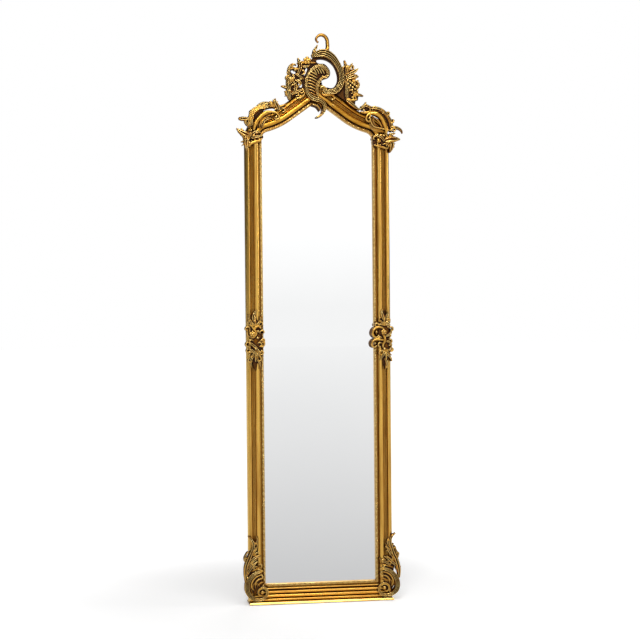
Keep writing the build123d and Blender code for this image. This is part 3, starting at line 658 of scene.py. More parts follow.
def joined(name, things):
    """Join several pieces into one, under one name."""
    bpy.ops.object.select_all(action="DESELECT")
    for thing in things:
        thing.select_set(True)
    bpy.context.view_layer.objects.active = things[0]
    bpy.ops.object.join()
    piece = bpy.context.object
    piece.name = name
    piece.data.name = name
    return piece


def welded(piece):
    """Close the ends of the strokes and turn every face outward."""
    only(piece)
    bpy.ops.object.mode_set(mode="EDIT")
    bpy.ops.mesh.select_all(action="SELECT")
    bpy.ops.mesh.remove_doubles(threshold=0.0005)
    bpy.ops.mesh.normals_make_consistent(inside=False)
    bpy.ops.object.mode_set(mode="OBJECT")
    return piece


# %% [markdown]
# The motif of the strip is two slanting leaves and a berry, a few dozen faces in all. Each copy gets
# its own mesh, turned to the path, and all the copies of one length are joined to its strip.

# %% Carved sight strips
motif_parts = [
    gouge([(-3.6, -7.0, 1.2), (-2.2, -3.6, 3.4), (1.4, 0.4, 3.6), (3.7, 3.4, 1.0)], plain_roll, 0.2, 1.5, 2),
    gouge([(3.6, -7.6, 1.0), (2.6, -4.8, 2.6), (2.9, -2.0, 1.2)], plain_roll, 0.0, 1.5, 2),
    gouge([(-3.7, 1.2, 1.0), (-2.4, 3.4, 2.8), (-3.2, 6.0, 1.2)], plain_roll, 0.0, 1.5, 2),
    berry(0.6, 6.2, 2.0, 0.2, 0.8, 4),
]
motif = welded(joined("strip_motif", motif_parts))
motif.data.transform(Matrix.Rotation(math.pi / 2, 4, "X") @ Matrix.Scale(mm, 4))
print("faces in one motif", len(motif.data.polygons))


def dressed_strip(name, strip, spots):
    """A length of strip with a motif at each place."""
    copies = [strip]
    for spot, heading in spots:
        copy = motif.copy()
        copy.data = motif.data.copy()
        bpy.context.scene.collection.objects.link(copy)
        place = Matrix.Translation(spot + Vector((0, strip_front, 0)))
        copy.data.transform(place @ Matrix.Rotation(-heading, 4, "Y"))
        copies.append(copy)
    piece = joined(name, copies)
    piece.data.materials.append(strip_gold)
    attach(piece, "mirror")
    return piece


strip_spring = Vector((sight_half + strip_line, 0, spring_height))
strip_corner = Vector((sight_half + strip_line, 0, plinth_top + member_width - strip_line))
upright_spots = straight_path(strip_corner, strip_spring, motif_pitch, 0.0)
strip_left = Vector((-strip_corner.x, 0, strip_corner.z))
level_spots = straight_path(strip_left, strip_corner, motif_pitch, math.pi / 2)
arch_spots = arch_path(strip_line, motif_pitch)
right_strip = right_upright("right_strip", strip_section)
right_arch_strip = right_arch("right_arch_strip", strip_section)
lower_strip = lower_rail("lower_strip", strip_section)
left_strip = mirrored(right_strip, "left_strip")
left_arch_strip = mirrored(right_arch_strip, "left_arch_strip")
flip = Vector((-1, 1, 1))
for name, strip, spots in (
    ("right_sight_strip", right_strip, upright_spots),
    ("left_sight_strip", left_strip, [(spot * flip, -heading) for spot, heading in upright_spots]),
    ("bottom_sight_strip", lower_strip, level_spots),
    ("right_top_sight_strip", right_arch_strip, arch_spots),
    ("left_top_sight_strip", left_arch_strip, [(spot * flip, -heading) for spot, heading in arch_spots]),
):
    piece = dressed_strip("carved_" + name, strip, spots)
    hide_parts(name)
    print(piece.name, len(piece.data.polygons))
bpy.data.objects.remove(motif)

# %% [markdown]
# Each carving is drawn in millimetres, u across and v up, from a point that the frame gives: the
# apex, the shoulder, the middle of a stile or the foot. Its strokes are joined, fused into one skin
# with a voxel remesh, and softened a little, as gesso rounds off carved wood. Fusing hides where
# one stroke runs under another, which plain joining would show as a hard line. Leaf fans, strands
# and small curls recur on every carving, so each has its own short function.

# %% Building a carving
voxel_size = 0.75
carving_line = outer_half - 31.0 * mm
apex_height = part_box("mirror_glass")[1].z
crest_level = apex_height - 92.4 * mm
shoulder_level = spring_height - 65.0 * mm
middle_level = 830.0 * mm
carving_back = moulding_front


def carving(name, node, origin, side, strokes, berries=()):
    """Cut one carving from its strokes and berries and set it on the frame."""
    things = [gouge(points, section, lift, depth) for section, lift, depth, points in strokes]
    things += [berry(*bead) for bead in berries]
    piece = welded(joined(name, things))
    remesh = piece.modifiers.new("fuse", "REMESH")
    remesh.mode = "VOXEL"
    remesh.voxel_size = voxel_size
    bpy.ops.object.modifier_apply(modifier="fuse")
    soften = piece.modifiers.new("soften", "SMOOTH")
    soften.factor = 0.5
    soften.iterations = 1
    bpy.ops.object.modifier_apply(modifier="soften")
    piece.data.transform(Matrix.Scale(mm, 4))
    if side < 0:
        piece.data.transform(Matrix.Scale(-1, 4, (1, 0, 0)))
        piece.data.flip_normals()
    place = Matrix.Translation((origin[0], carving_back, origin[1]))
    piece.data.transform(place @ Matrix.Rotation(math.pi / 2, 4, "X"))
    only(piece)
    bpy.ops.object.shade_smooth()
    piece.data.materials.append(carved_gold)
    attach(piece, "mirror")
    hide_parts(node)
    triangles = 2 * len(piece.data.polygons)
    print(name, triangles, "triangles", tuple(round(value, 3) for value in piece.dimensions))
    return piece


def leaf_fan(u, v, heading, length, lobes=5, spread=100, width=7, flare=30, lift=3.0, depth=11.0):
    """A palmette: veined lobes that fan out from one point, the middle one longest."""
    strokes = []
    for index in range(lobes):
        share = 2 * index / (lobes - 1) - 1
        angle = math.radians(heading + share * spread / 2)
        reach = length * (1 - 0.35 * abs(share))
        points = []
        for step, swell in ((0.0, 0.5), (0.4, 1.0), (0.75, 0.8), (1.0, 0.3)):
            bend = angle + math.radians(flare) * share * step
            along = reach * step
            points.append((u + along * math.cos(bend), v + along * math.sin(bend), width * swell))
        strokes.append((veined_leaf, lift - abs(share), depth, points))
    return strokes


def feather(starts, ends, bow, count, width=5.5, lift=3.0, depth=11.0):
    """Curved strands side by side: the first and last are given, those between are shared out."""
    strands = []
    for index in range(count):
        share = index / (count - 1)
        (au, av), (bu, bv) = [
            [low + share * (high - low) for low, high in zip(*pair)] for pair in (starts, ends)
        ]
        mu, mv = (au + bu) / 2 + bow * (bv - av), (av + bv) / 2 - bow * (bu - au)
        strands.append((plain_roll, lift, depth, [
            (au, av, 0.35 * width), ((au + mu) / 2 + bow * (bv - av) * 0.25, (av + mv) / 2, 0.9 * width),
            (mu, mv, width), (bu, bv, 0.35 * width),
        ]))
    return strands


def curl(u, v, heading, step, turn=1, width=5.0, lift=4.0, depth=11.0):
    """A small C-scroll that winds in on itself, to the left for turn 1 and to the right for -1."""
    angle = math.radians(heading)
    points = []
    for swell in (0.4, 1.0, 1.1, 1.0, 0.8, 0.5):
        points.append((u, v, width * swell))
        u += step * math.cos(angle)
        v += step * math.sin(angle)
        angle += turn * math.radians(52)
        step *= 0.84
    return (plain_roll, lift, depth, points)


def rosette(u, v, petals, ring, petal_radius, heart_radius, lift):
    """An open flower: a ring of round petals about a heart."""
    beads = [(u, v, heart_radius, lift + 2.0, 0.9)]
    for index in range(petals):
        angle = math.radians(90 + 360 * index / petals)
        beads.append((u + ring * math.cos(angle), v + ring * math.sin(angle), petal_radius, lift, 0.75))
    return beads


def bead_row(start, end, count, radius, lift):
    """A straight row of small berries."""
    row = []
    for index in range(count):
        share = index / (count - 1)
        u = start[0] + share * (end[0] - start[0])
        v = start[1] + share * (end[1] - start[1])
        row.append((u, v, radius, lift))
    return row


crest_origin = (0.0, crest_level)

# %% [markdown]
# The crest is the show piece. Its plume is a shell-like leaf that curls over to the right, sweeps
# down past the apex and ends in a hooked tail. The outer band is fluted, a second rib lies inside
# it, and short slanting ribs cross the cheek between them, so that it catches light like feathers.

# %% Crest plume
cheek_ribs = []
for index in range(9):
    v = 96 + 9.5 * index
    cheek_ribs.append((plain_roll, 3.0 + 0.25 * index, 12.0, [
        (-31 + abs(index - 4) * 0.8, v + 6, 3.0), (-20, v + 4, 4.6), (-9, v - 1, 4.4), (-1, v - 6, 2.4),
    ]))
curl_ribs = []
for index in range(5):
    u = -8 + 8.5 * index
    curl_ribs.append((plain_roll, 5.5, 12.0, [
        (u - 7, 190 - abs(index - 2) * 2, 3.0), (u, 181, 4.4), (u + 5, 170, 2.6),
    ]))
carving("carved_crest_plume", "crest_plume", crest_origin, 1, [
    (fluted_band, 5.0, 12.0, [
        (14, 163, 5), (25, 160, 8), (34, 170, 10), (29, 184, 11), (14, 194, 11), (-3, 193, 10),
        (-21, 179, 9), (-33, 158, 9), (-36, 135, 9), (-33, 114, 11), (-21, 96, 15), (-5, 89, 16),
        (10, 85, 15), (21, 74, 13), (22, 59, 11), (16, 46, 9), (6, 38, 7), (-3, 35, 4),
    ]),
    (fluted_band, 4.0, 12.0, [
        (18, 160, 6), (9, 151, 9), (1, 139, 10), (-2, 122, 10), (1, 104, 8), (5, 94, 5),
    ]),
    (low_ground, 0.0, 12.0, [(8, 180, 24), (-9, 166, 34), (-18, 145, 36), (-19, 122, 32), (-11, 102, 20)]),
    (plain_roll, 3.0, 12.0, [(-17, 74, 3), (-9, 73, 6), (-1, 70, 6), (6, 62, 5), (9, 55, 3)]),
    (plain_roll, 2.0, 12.0, [(-10, 84, 4), (0, 80, 6), (10, 72, 5), (13, 62, 3)]),
    *cheek_ribs,
    *curl_ribs,
])

# %% [markdown]
# Round the plume runs a great C-shaped scroll, reeded along its length, with a small S-scroll and
# a berry at its foot. A thin hook stands on top of it as a finial, and a leaf spike leans left.

# %% Crest scroll and finial
carving("carved_crest_scroll", "crest_scroll", crest_origin, 1, [
    (reeded_band, 3.0, 12.0, [
        (-17, 226, 10), (-4, 231, 19), (12, 235, 26), (28, 234, 27), (45, 225, 24), (60, 209, 20),
        (71, 189, 18), (77, 166, 18), (76, 145, 19), (69, 129, 20), (57, 117, 18), (41, 113, 17),
        (27, 114, 14), (18, 121, 8),
    ]),
    (plain_roll, 4.0, 10.0, [
        (14, 111, 5), (22, 104, 8), (36, 104, 9), (49, 103, 8), (53, 94, 7), (45, 88, 4),
    ]),
    (veined_leaf, 3.0, 10.0, [(-12, 230, 8), (-9, 243, 9), (-3, 252, 8), (2, 262, 3)]),
    (plain_roll, 1.0, 6.0, [
        (29, 236, 14), (34, 252, 12), (34, 268, 11), (32, 281, 11), (24, 291, 10), (13, 294, 10),
        (3, 289, 8), (-2, 280, 7), (0, 272, 4),
    ]),
    (plain_roll, 4.0, 10.0, [(34, 114, 3), (28, 124, 6), (16, 130, 6), (8, 124, 3)]),
], [(50, 72, 4.5, 2.0), (2, 271, 4.0, 1.0), (47, 90, 3.5, 6.0)])

# %% [markdown]
# Left of the plume rises a spray: a tall leafy stem, a round flower on top and small leaves between,
# with the ground behind it cut through. Each leaf is a veined stroke that starts thin, swells and
# ends in a point.

# %% Flower spray
carving("carved_flower_spray", "flower_spray", crest_origin, 1, [
    (fluted_band, 2.0, 12.0, [
        (-88, 88, 8), (-92, 108, 14), (-92, 128, 14), (-93, 148, 12), (-90, 165, 9), (-91, 182, 8),
        (-85, 195, 8), (-77, 202, 4),
    ]),
    (veined_leaf, 2.0, 12.0, [(-88, 124, 8), (-98, 127, 10), (-106, 129, 8), (-115, 131, 3)]),
    (low_ground, 0.0, 12.0, [(-86, 98, 16), (-79, 122, 26), (-74, 146, 22), (-66, 160, 14), (-62, 172, 9)]),
    (veined_leaf, 4.0, 12.0, [(-82, 104, 6), (-72, 116, 12), (-70, 132, 12), (-76, 146, 5)]),
    (veined_leaf, 3.0, 12.0, [(-70, 170, 5), (-60, 164, 9), (-50, 158, 8), (-42, 152, 3)]),
    (veined_leaf, 3.0, 12.0, [(-80, 106, 8), (-66, 112, 11), (-54, 117, 9), (-44, 119, 3)]),
    (veined_leaf, 3.0, 12.0, [(-62, 168, 6), (-56, 184, 13), (-54, 200, 13), (-58, 212, 8), (-61, 220, 3)]),
    (plain_roll, 2.0, 12.0, [(-90, 184, 6), (-74, 187, 7), (-56, 184, 6)]),
    (plain_roll, 2.0, 12.0, [(-54, 202, 8), (-42, 206, 9), (-30, 209, 8), (-16, 205, 7), (-4, 206, 4)]),
    (veined_leaf, 5.0, 12.0, [(-90, 138, 4), (-82, 146, 9), (-76, 158, 8), (-78, 168, 3)]),
    (veined_leaf, 4.0, 12.0, [(-72, 150, 4), (-62, 148, 8), (-54, 152, 6), (-48, 160, 3)]),
    (plain_roll, 4.0, 12.0, [(-68, 92, 4), (-56, 94, 7), (-46, 100, 6), (-40, 108, 3)]),
    (veined_leaf, 3.0, 12.0, [(-50, 196, 5), (-40, 192, 8), (-30, 194, 7), (-22, 198, 3)]),
    curl(-92, 100, 150, 8, -1), curl(-96, 150, 120, 7, -1), curl(-62, 132, 20, 8, 1),
    curl(-58, 112, -20, 8, 1), curl(-74, 178, 60, 7, -1), curl(-50, 168, 10, 7, 1),
    curl(-66, 196, 150, 7, 1), curl(-84, 128, 60, 7, -1), curl(-70, 100, 10, 7, 1),
    *leaf_fan(-86, 104, 150, 22, 5, 120, 5, lift=4.0),
    *leaf_fan(-56, 196, 60, 18, 3, 90, 5, lift=4.0),
], rosette(-32, 212, 5, 7.5, 5.6, 4.6, 5.0) + rosette(-84, 152, 5, 4.6, 3.4, 3.0, 8.0) + [
    (-64, 128, 3.6, 6.0), (-70, 182, 3.4, 6.0), (-58, 140, 3.0, 5.0), (-96, 172, 3.0, 5.0),
    (-88, 116, 3.2, 8.0),
])

# %% [markdown]
# On the right a drop of leaves, flowers and seed pods hangs beside the scroll. Its lower half is a
# cluster of berries in rows, which are easiest to place by a loop along three slanting lines.

# %% Floral drop
drop_berries = bead_row((97, 152), (126, 132), 5, 3.8, 7.0)
drop_berries += bead_row((98, 140), (128, 118), 5, 3.6, 6.5)
drop_berries += bead_row((102, 128), (128, 106), 4, 3.4, 6.0)
carving("carved_floral_drop", "floral_drop", crest_origin, 1, [
    (fluted_band, 1.5, 12.0, [
        (98, 86, 7), (94, 104, 11), (94, 124, 12), (94, 145, 12), (94, 165, 11), (95, 185, 12),
        (92, 200, 9), (88, 215, 4),
    ]),
    (veined_leaf, 4.0, 12.0, [(96, 178, 7), (102, 188, 11), (108, 197, 9), (113, 206, 3)]),
    (veined_leaf, 4.0, 12.0, [(96, 168, 10), (112, 176, 14), (124, 183, 10), (132, 189, 3)]),
    (veined_leaf, 3.5, 12.0, [(98, 158, 11), (112, 162, 16), (124, 165, 12), (133, 163, 3)]),
    (low_ground, 0.0, 12.0, [(98, 150, 18), (108, 132, 28), (117, 116, 30), (123, 102, 20), (127, 88, 8)]),
    (veined_leaf, 2.5, 12.0, [(122, 108, 8), (132, 107, 9), (140, 105, 7), (148, 102, 3)]),
    (veined_leaf, 3.0, 12.0, [(94, 88, 7), (108, 78, 12), (122, 67, 10), (136, 58, 3)]),
    (plain_roll, 4.0, 12.0, [(92, 92, 4), (102, 90, 8), (114, 88, 8), (128, 92, 3)]),
    (veined_leaf, 5.0, 12.0, [(86, 196, 4), (80, 186, 8), (82, 174, 7), (88, 166, 3)]),
    (veined_leaf, 4.0, 12.0, [(126, 150, 4), (132, 142, 8), (131, 130, 8), (124, 122, 3)]),
    curl(108, 184, 30, 8, 1), curl(112, 168, 0, 8, -1), curl(106, 150, 60, 7, -1),
    curl(122, 136, 0, 7, 1), curl(100, 116, 40, 7, -1), curl(114, 100, 10, 7, 1),
    curl(96, 140, 130, 7, 1), curl(104, 88, -10, 7, 1),
    *leaf_fan(112, 148, 10, 22, 5, 120, 5, lift=5.0),
    *leaf_fan(116, 108, -20, 20, 5, 120, 5, lift=5.0),
], drop_berries + rosette(98, 192, 5, 4.4, 3.3, 3.0, 7.0))

# %% [markdown]
# The shoulders are covered by broken scrolls that run up the gable in parallel rolls and end in a
# leaf tip, with a horn that stands out at the side. The left and the right are deliberately not the
# same, so each has its own list of strokes.

# %% Shoulder scrolls
left_shoulder = (-carving_line, shoulder_level)
right_shoulder = (carving_line, shoulder_level)
carving("carved_left_shoulder", "left_shoulder_scroll", left_shoulder, -1, [
    (plain_roll, 4.0, 12.0, [(4, 92, 8), (-2, 111, 14), (-15, 130, 15), (-35, 146, 14), (-55, 150, 7)]),
    (low_ground, 0.0, 12.0, [
        (14, 100, 12), (11, 128, 22), (-4, 145, 24), (-22, 161, 22), (-40, 167, 18), (-58, 167, 12),
        (-80, 164, 14), (-97, 171, 6),
    ]),
    (veined_leaf, 2.0, 12.0, [
        (17, 98, 6), (17, 118, 12), (10, 138, 12), (-2, 152, 10), (-12, 166, 12), (-26, 175, 11),
        (-42, 177, 9), (-56, 176, 4),
    ]),
    (veined_leaf, 2.0, 7.0, [(8, 124, 10), (26, 127, 12), (40, 127, 14), (50, 127, 7)]),
    (veined_leaf, 3.0, 12.0, [(-78, 154, 8), (-72, 168, 15), (-66, 180, 12), (-66, 192, 3)]),
    (plain_roll, 2.0, 12.0, [(-60, 164, 5), (-76, 166, 8), (-90, 170, 7), (-100, 176, 3)]),
    (plain_roll, 4.0, 12.0, [
        (-44, 148, 4), (-58, 149, 7), (-72, 144, 8), (-77, 133, 7), (-69, 126, 6), (-62, 131, 3),
    ]),
    (plain_roll, 2.0, 12.0, [(-13, 97, 3), (-18, 112, 6), (-32, 130, 6), (-54, 142, 3)]),
    (plain_roll, 1.5, 12.0, [(-22, 97, 3), (-26, 110, 5), (-38, 124, 5), (-56, 134, 3)]),
    (plain_roll, 2.0, 12.0, [(4, 138, 4), (-8, 152, 7), (-24, 163, 7), (-44, 168, 6), (-60, 164, 3)]),
    (veined_leaf, 4.0, 12.0, [(20, 104, 4), (26, 112, 8), (27, 122, 6), (22, 130, 3)]),
    *feather(((-2, 96), (-24, 96)), ((-50, 148), (-58, 130)), 0.22, 5, 3.6, 3.5, 12.0),
    *feather(((16, 102), (6, 104)), ((-42, 174), (-46, 164)), 0.30, 4, 3.8, 6.0, 12.0),
    *leaf_fan(-64, 166, 80, 24, 5, 110, 5, lift=5.0),
    curl(12, 118, 60, 8, 1), curl(4, 142, 90, 7, -1), curl(-20, 168, 160, 7, 1),
    curl(-46, 170, 170, 7, -1), curl(22, 112, 20, 7, 1), curl(-84, 160, 170, 7, 1),
], [(-68, 134, 3.6, 7.0), (46, 127, 6.0, 1.0), (-66, 158, 3.4, 5.0)])
carving("carved_right_shoulder", "right_shoulder_scroll", right_shoulder, 1, [
    (plain_roll, 4.0, 12.0, [
        (-32, 149, 6), (-10, 146, 15), (5, 135, 16), (15, 115, 16), (21, 97, 13), (20, 84, 6),
    ]),
    (low_ground, 0.0, 12.0, [
        (-60, 162, 10), (-40, 165, 18), (-25, 160, 15), (-8, 158, 16), (8, 149, 18), (22, 136, 16),
        (32, 118, 14), (36, 101, 12), (34, 90, 7),
    ]),
    (veined_leaf, 2.0, 12.0, [
        (-62, 168, 4), (-44, 172, 10), (-28, 166, 10), (-10, 165, 11), (8, 158, 11), (22, 146, 10),
        (34, 128, 9), (40, 110, 8), (38, 92, 4),
    ]),
    (veined_leaf, 2.0, 7.0, [(34, 102, 10), (48, 104, 11), (61, 101, 9), (70, 94, 7), (73, 85, 3)]),
    (plain_roll, 4.0, 12.0, [
        (-16, 144, 4), (-30, 147, 8), (-42, 140, 8), (-43, 128, 7), (-34, 122, 6), (-27, 128, 3),
    ]),
    (plain_roll, 2.0, 12.0, [(-24, 138, 3), (-6, 126, 7), (6, 106, 7), (9, 86, 3)]),
    (plain_roll, 1.5, 12.0, [(-30, 122, 3), (-14, 114, 5), (-3, 100, 5), (0, 86, 3)]),
    (plain_roll, 2.0, 12.0, [(-62, 152, 5), (-46, 150, 10), (-28, 153, 8), (-10, 156, 3)]),
    (veined_leaf, 4.0, 12.0, [(-66, 160, 4), (-56, 168, 9), (-48, 176, 7), (-44, 184, 3)]),
    (plain_roll, 2.0, 12.0, [(-6, 156, 3), (10, 150, 6), (24, 136, 6), (32, 118, 5), (34, 100, 3)]),
    *feather(((18, 88), (-4, 88)), ((-22, 146), (-34, 122)), -0.22, 5, 3.6, 3.5, 12.0),
    *feather(((38, 94), (28, 94)), ((-34, 170), (-30, 160)), -0.32, 4, 3.8, 6.0, 12.0),
    curl(-50, 164, 100, 7, -1), curl(-24, 162, 60, 7, -1), curl(0, 156, 30, 7, -1),
    curl(20, 142, 0, 7, 1), curl(32, 124, -40, 7, 1), curl(40, 104, -10, 7, -1),
], [(-34, 133, 3.6, 7.0), (38, 96, 4.5, 5.0), (-52, 158, 3.4, 5.0)])

# %% [markdown]
# Below each shoulder scroll a clasp of leaves grips the top of the stile and hides the joint of the
# frame. The leaves fan out to a point at the side and hang down in a second point.

# %% Clasps
carving("carved_left_clasp", "left_clasp", left_shoulder, -1, [
    (veined_leaf, 3.0, 12.0, [(16, 74, 14), (30, 79, 20), (42, 85, 15), (50, 91, 9), (57, 97, 3)]),
    (low_ground, 0.0, 12.0, [(24, 78, 22), (5, 74, 30), (-12, 70, 22), (-27, 72, 8)]),
    (veined_leaf, 3.0, 12.0, [(26, 70, 12), (28, 54, 16), (26, 38, 10), (25, 25, 3)]),
    (plain_roll, 3.0, 12.0, [(20, 38, 4), (11, 50, 9), (-2, 55, 10), (-15, 59, 9), (-24, 67, 4)]),
    (veined_leaf, 5.0, 12.0, [(14, 72, 6), (4, 82, 11), (-8, 86, 9), (-18, 84, 3)]),
    (veined_leaf, 5.0, 12.0, [(10, 66, 6), (-2, 70, 10), (-14, 72, 8), (-24, 76, 3)]),
    (plain_roll, 4.0, 12.0, [(32, 84, 4), (38, 90, 7), (42, 98, 3)]),
    (plain_roll, 4.0, 12.0, [(34, 60, 3), (36, 72, 6), (44, 82, 5), (52, 86, 3)]),
    *leaf_fan(16, 66, 20, 30, 5, 110, 6, lift=6.0),
    *leaf_fan(26, 62, -85, 30, 5, 70, 5, lift=5.0),
    curl(6, 80, 120, 7, 1), curl(-6, 66, 180, 7, 1), curl(12, 58, 200, 7, -1), curl(34, 78, 80, 6, -1),
], [(30, 68, 4.5, 9.0), (4, 74, 4.0, 9.0), (18, 52, 3.2, 6.0), (12, 90, 3.6, 5.0)])
carving("carved_right_clasp", "right_clasp", right_shoulder, 1, [
    (veined_leaf, 3.0, 12.0, [(16, 62, 18), (34, 66, 25), (50, 67, 17), (60, 67, 9), (66, 66, 3)]),
    (veined_leaf, 3.0, 12.0, [(34, 64, 14), (38, 50, 18), (36, 36, 12), (32, 24, 3)]),
    (low_ground, 0.0, 12.0, [(-22, 57, 12), (-4, 59, 24), (12, 60, 32), (28, 62, 30)]),
    (plain_roll, 3.0, 12.0, [(-20, 48, 4), (-4, 44, 8), (12, 40, 8), (27, 37, 4)]),
    (veined_leaf, 5.0, 12.0, [(14, 60, 6), (4, 72, 11), (-8, 78, 9), (-16, 80, 3)]),
    (veined_leaf, 4.0, 12.0, [(26, 70, 6), (34, 80, 10), (44, 84, 7), (50, 86, 3)]),
    (plain_roll, 3.0, 12.0, [(8, 50, 3), (20, 52, 7), (30, 44, 6), (34, 34, 3)]),
    *leaf_fan(18, 64, 0, 32, 5, 110, 6, lift=6.0),
    *leaf_fan(34, 58, -85, 26, 5, 70, 5, lift=5.0),
    curl(12, 74, 130, 7, 1), curl(4, 50, 200, 7, -1), curl(30, 76, 80, 6, -1), curl(-10, 72, 150, 6, 1),
], [(-5, 61, 7.0, 6.0), (26, 56, 4.0, 9.0), (12, 78, 3.4, 6.0), (44, 62, 3.2, 8.0)])

# %% [markdown]
# At the feet a large volute rolls in to a boss, and an acanthus branch climbs the stile from it.
# The volute is one long reeded stroke that winds inward. The leaves fork off the branch in turn,
# each with its own vein.

# %% Foot scrolls
left_foot = (-carving_line, plinth_top)
right_foot = (carving_line, plinth_top)
carving("carved_left_foot", "left_foot_scroll", left_foot, -1, [
    (reeded_band, 3.0, 11.0, [
        (-13, 99, 6), (5, 93, 11), (22, 83, 13), (34, 67, 15), (38, 47, 16), (33, 27, 15), (20, 13, 13),
        (3, 8, 11), (-13, 10, 10), (-24, 20, 9), (-26, 34, 9), (-17, 44, 8), (-5, 42, 7), (2, 33, 6),
        (-1, 23, 5), (-10, 21, 4),
    ]),
    (veined_leaf, 3.0, 11.0, [
        (40, 62, 8), (41, 87, 13), (40, 112, 13), (31, 138, 15), (22, 158, 13), (16, 180, 10),
        (22, 197, 8), (33, 208, 3),
    ]),
    (veined_leaf, 3.5, 11.0, [(36, 90, 8), (24, 110, 11), (13, 121, 9), (3, 128, 3)]),
    (veined_leaf, 3.5, 11.0, [(36, 108, 8), (25, 122, 10), (14, 132, 8), (4, 138, 3)]),
    (veined_leaf, 3.5, 11.0, [(30, 126, 8), (14, 139, 10), (2, 144, 8), (-9, 145, 3)]),
    (veined_leaf, 3.5, 11.0, [(24, 150, 8), (12, 162, 9), (3, 176, 3)]),
    (veined_leaf, 3.5, 11.0, [(38, 122, 6), (44, 136, 8), (40, 150, 6), (34, 160, 3)]),
    (veined_leaf, 3.0, 11.0, [(22, 176, 6), (10, 184, 8), (4, 194, 6), (6, 206, 3)]),
    (plain_roll, 3.0, 11.0, [(-8, 86, 4), (8, 80, 7), (20, 68, 8), (24, 52, 7), (18, 38, 4)]),
    (plain_roll, 3.0, 11.0, [(-12, 74, 3), (2, 70, 6), (11, 60, 7), (12, 50, 3)]),
    (plain_roll, 2.0, 11.0, [(-16, 62, 3), (-6, 60, 6), (0, 54, 5), (-4, 48, 3)]),
    (plain_roll, 2.0, 11.0, [(28, 98, 3), (16, 100, 7), (2, 108, 7), (-10, 112, 3)]),
    (low_ground, 0.0, 11.0, [(22, 140, 18), (20, 110, 26), (8, 82, 34), (10, 56, 40), (4, 30, 34)]),
    *feather(((28, 70), (-8, 58)), ((22, 22), (6, 46)), -0.25, 5, 4.0, 3.0),
    *leaf_fan(26, 110, 140, 30, 5, 90, 6, lift=5.0),
    *leaf_fan(18, 146, 110, 30, 5, 90, 5, lift=5.0),
    curl(34, 84, 100, 8, -1), curl(8, 100, 150, 8, 1), curl(36, 128, 100, 7, -1), curl(-2, 86, 190, 7, 1),
    curl(16, 176, 100, 7, 1), curl(4, 116, 150, 7, 1),
], [(-11, 30, 6.0, 4.0), (36, 78, 3.2, 7.0), (-14, 52, 3.2, 3.0)])
foot_beads = bead_row((47, 30), (54, 96), 7, 3.0, 1.0)
carving("carved_right_foot", "right_foot_scroll", right_foot, 1, [
    (reeded_band, 3.0, 11.0, [
        (-12, 92, 6), (7, 90, 10), (26, 80, 12), (39, 64, 15), (45, 44, 16), (41, 24, 16), (29, 12, 13),
        (12, 8, 11), (-5, 10, 10), (-15, 22, 9), (-12, 37, 8), (1, 44, 8), (14, 39, 7), (17, 28, 6),
        (10, 20, 5), (2, 23, 4),
    ]),
    (veined_leaf, 3.0, 11.0, [
        (50, 62, 8), (49, 90, 14), (42, 117, 15), (32, 140, 14), (26, 160, 12), (22, 177, 10),
        (28, 194, 8), (40, 204, 3),
    ]),
    (veined_leaf, 3.5, 11.0, [(44, 98, 8), (28, 112, 11), (14, 124, 9), (1, 131, 3)]),
    (veined_leaf, 3.5, 11.0, [(36, 124, 8), (24, 138, 11), (15, 152, 8), (8, 170, 3)]),
    (veined_leaf, 3.5, 11.0, [(28, 156, 6), (18, 166, 9), (14, 178, 7), (18, 190, 3)]),
    (veined_leaf, 3.5, 11.0, [(42, 118, 6), (46, 134, 9), (40, 150, 7), (36, 164, 3)]),
    (plain_roll, 3.0, 11.0, [(-6, 82, 4), (12, 78, 7), (26, 66, 8), (31, 50, 7), (26, 36, 4)]),
    (plain_roll, 3.0, 11.0, [(-8, 70, 3), (8, 68, 6), (18, 58, 7), (20, 48, 3)]),
    (plain_roll, 2.0, 11.0, [(-12, 58, 3), (0, 60, 6), (8, 54, 5), (6, 48, 3)]),
    (plain_roll, 2.0, 11.0, [(34, 94, 3), (20, 98, 7), (4, 104, 7), (-12, 108, 3)]),
    (veined_leaf, 3.0, 11.0, [(22, 100, 6), (8, 112, 9), (-6, 118, 7), (-14, 126, 3)]),
    (low_ground, 0.0, 11.0, [(30, 138, 18), (26, 110, 28), (16, 82, 36), (20, 56, 42), (12, 30, 34)]),
    *feather(((34, 68), (-4, 56)), ((30, 22), (16, 42)), -0.25, 5, 4.0, 3.0),
    *leaf_fan(34, 112, 140, 32, 5, 90, 6, lift=5.0),
    *leaf_fan(26, 148, 110, 30, 5, 90, 5, lift=5.0),
    curl(42, 84, 100, 8, -1), curl(14, 98, 150, 8, 1), curl(40, 130, 100, 7, -1), curl(0, 82, 190, 7, 1),
    curl(24, 172, 100, 7, 1), curl(8, 118, 150, 7, 1),
], [(2, 30, 6.0, 4.0), *foot_beads])

# %% [markdown]
# Half way up, each stile carries a small knot of leaves, scrolls and a flower that breaks the long
# straight lines. The right one has two loops that hang over the glass.

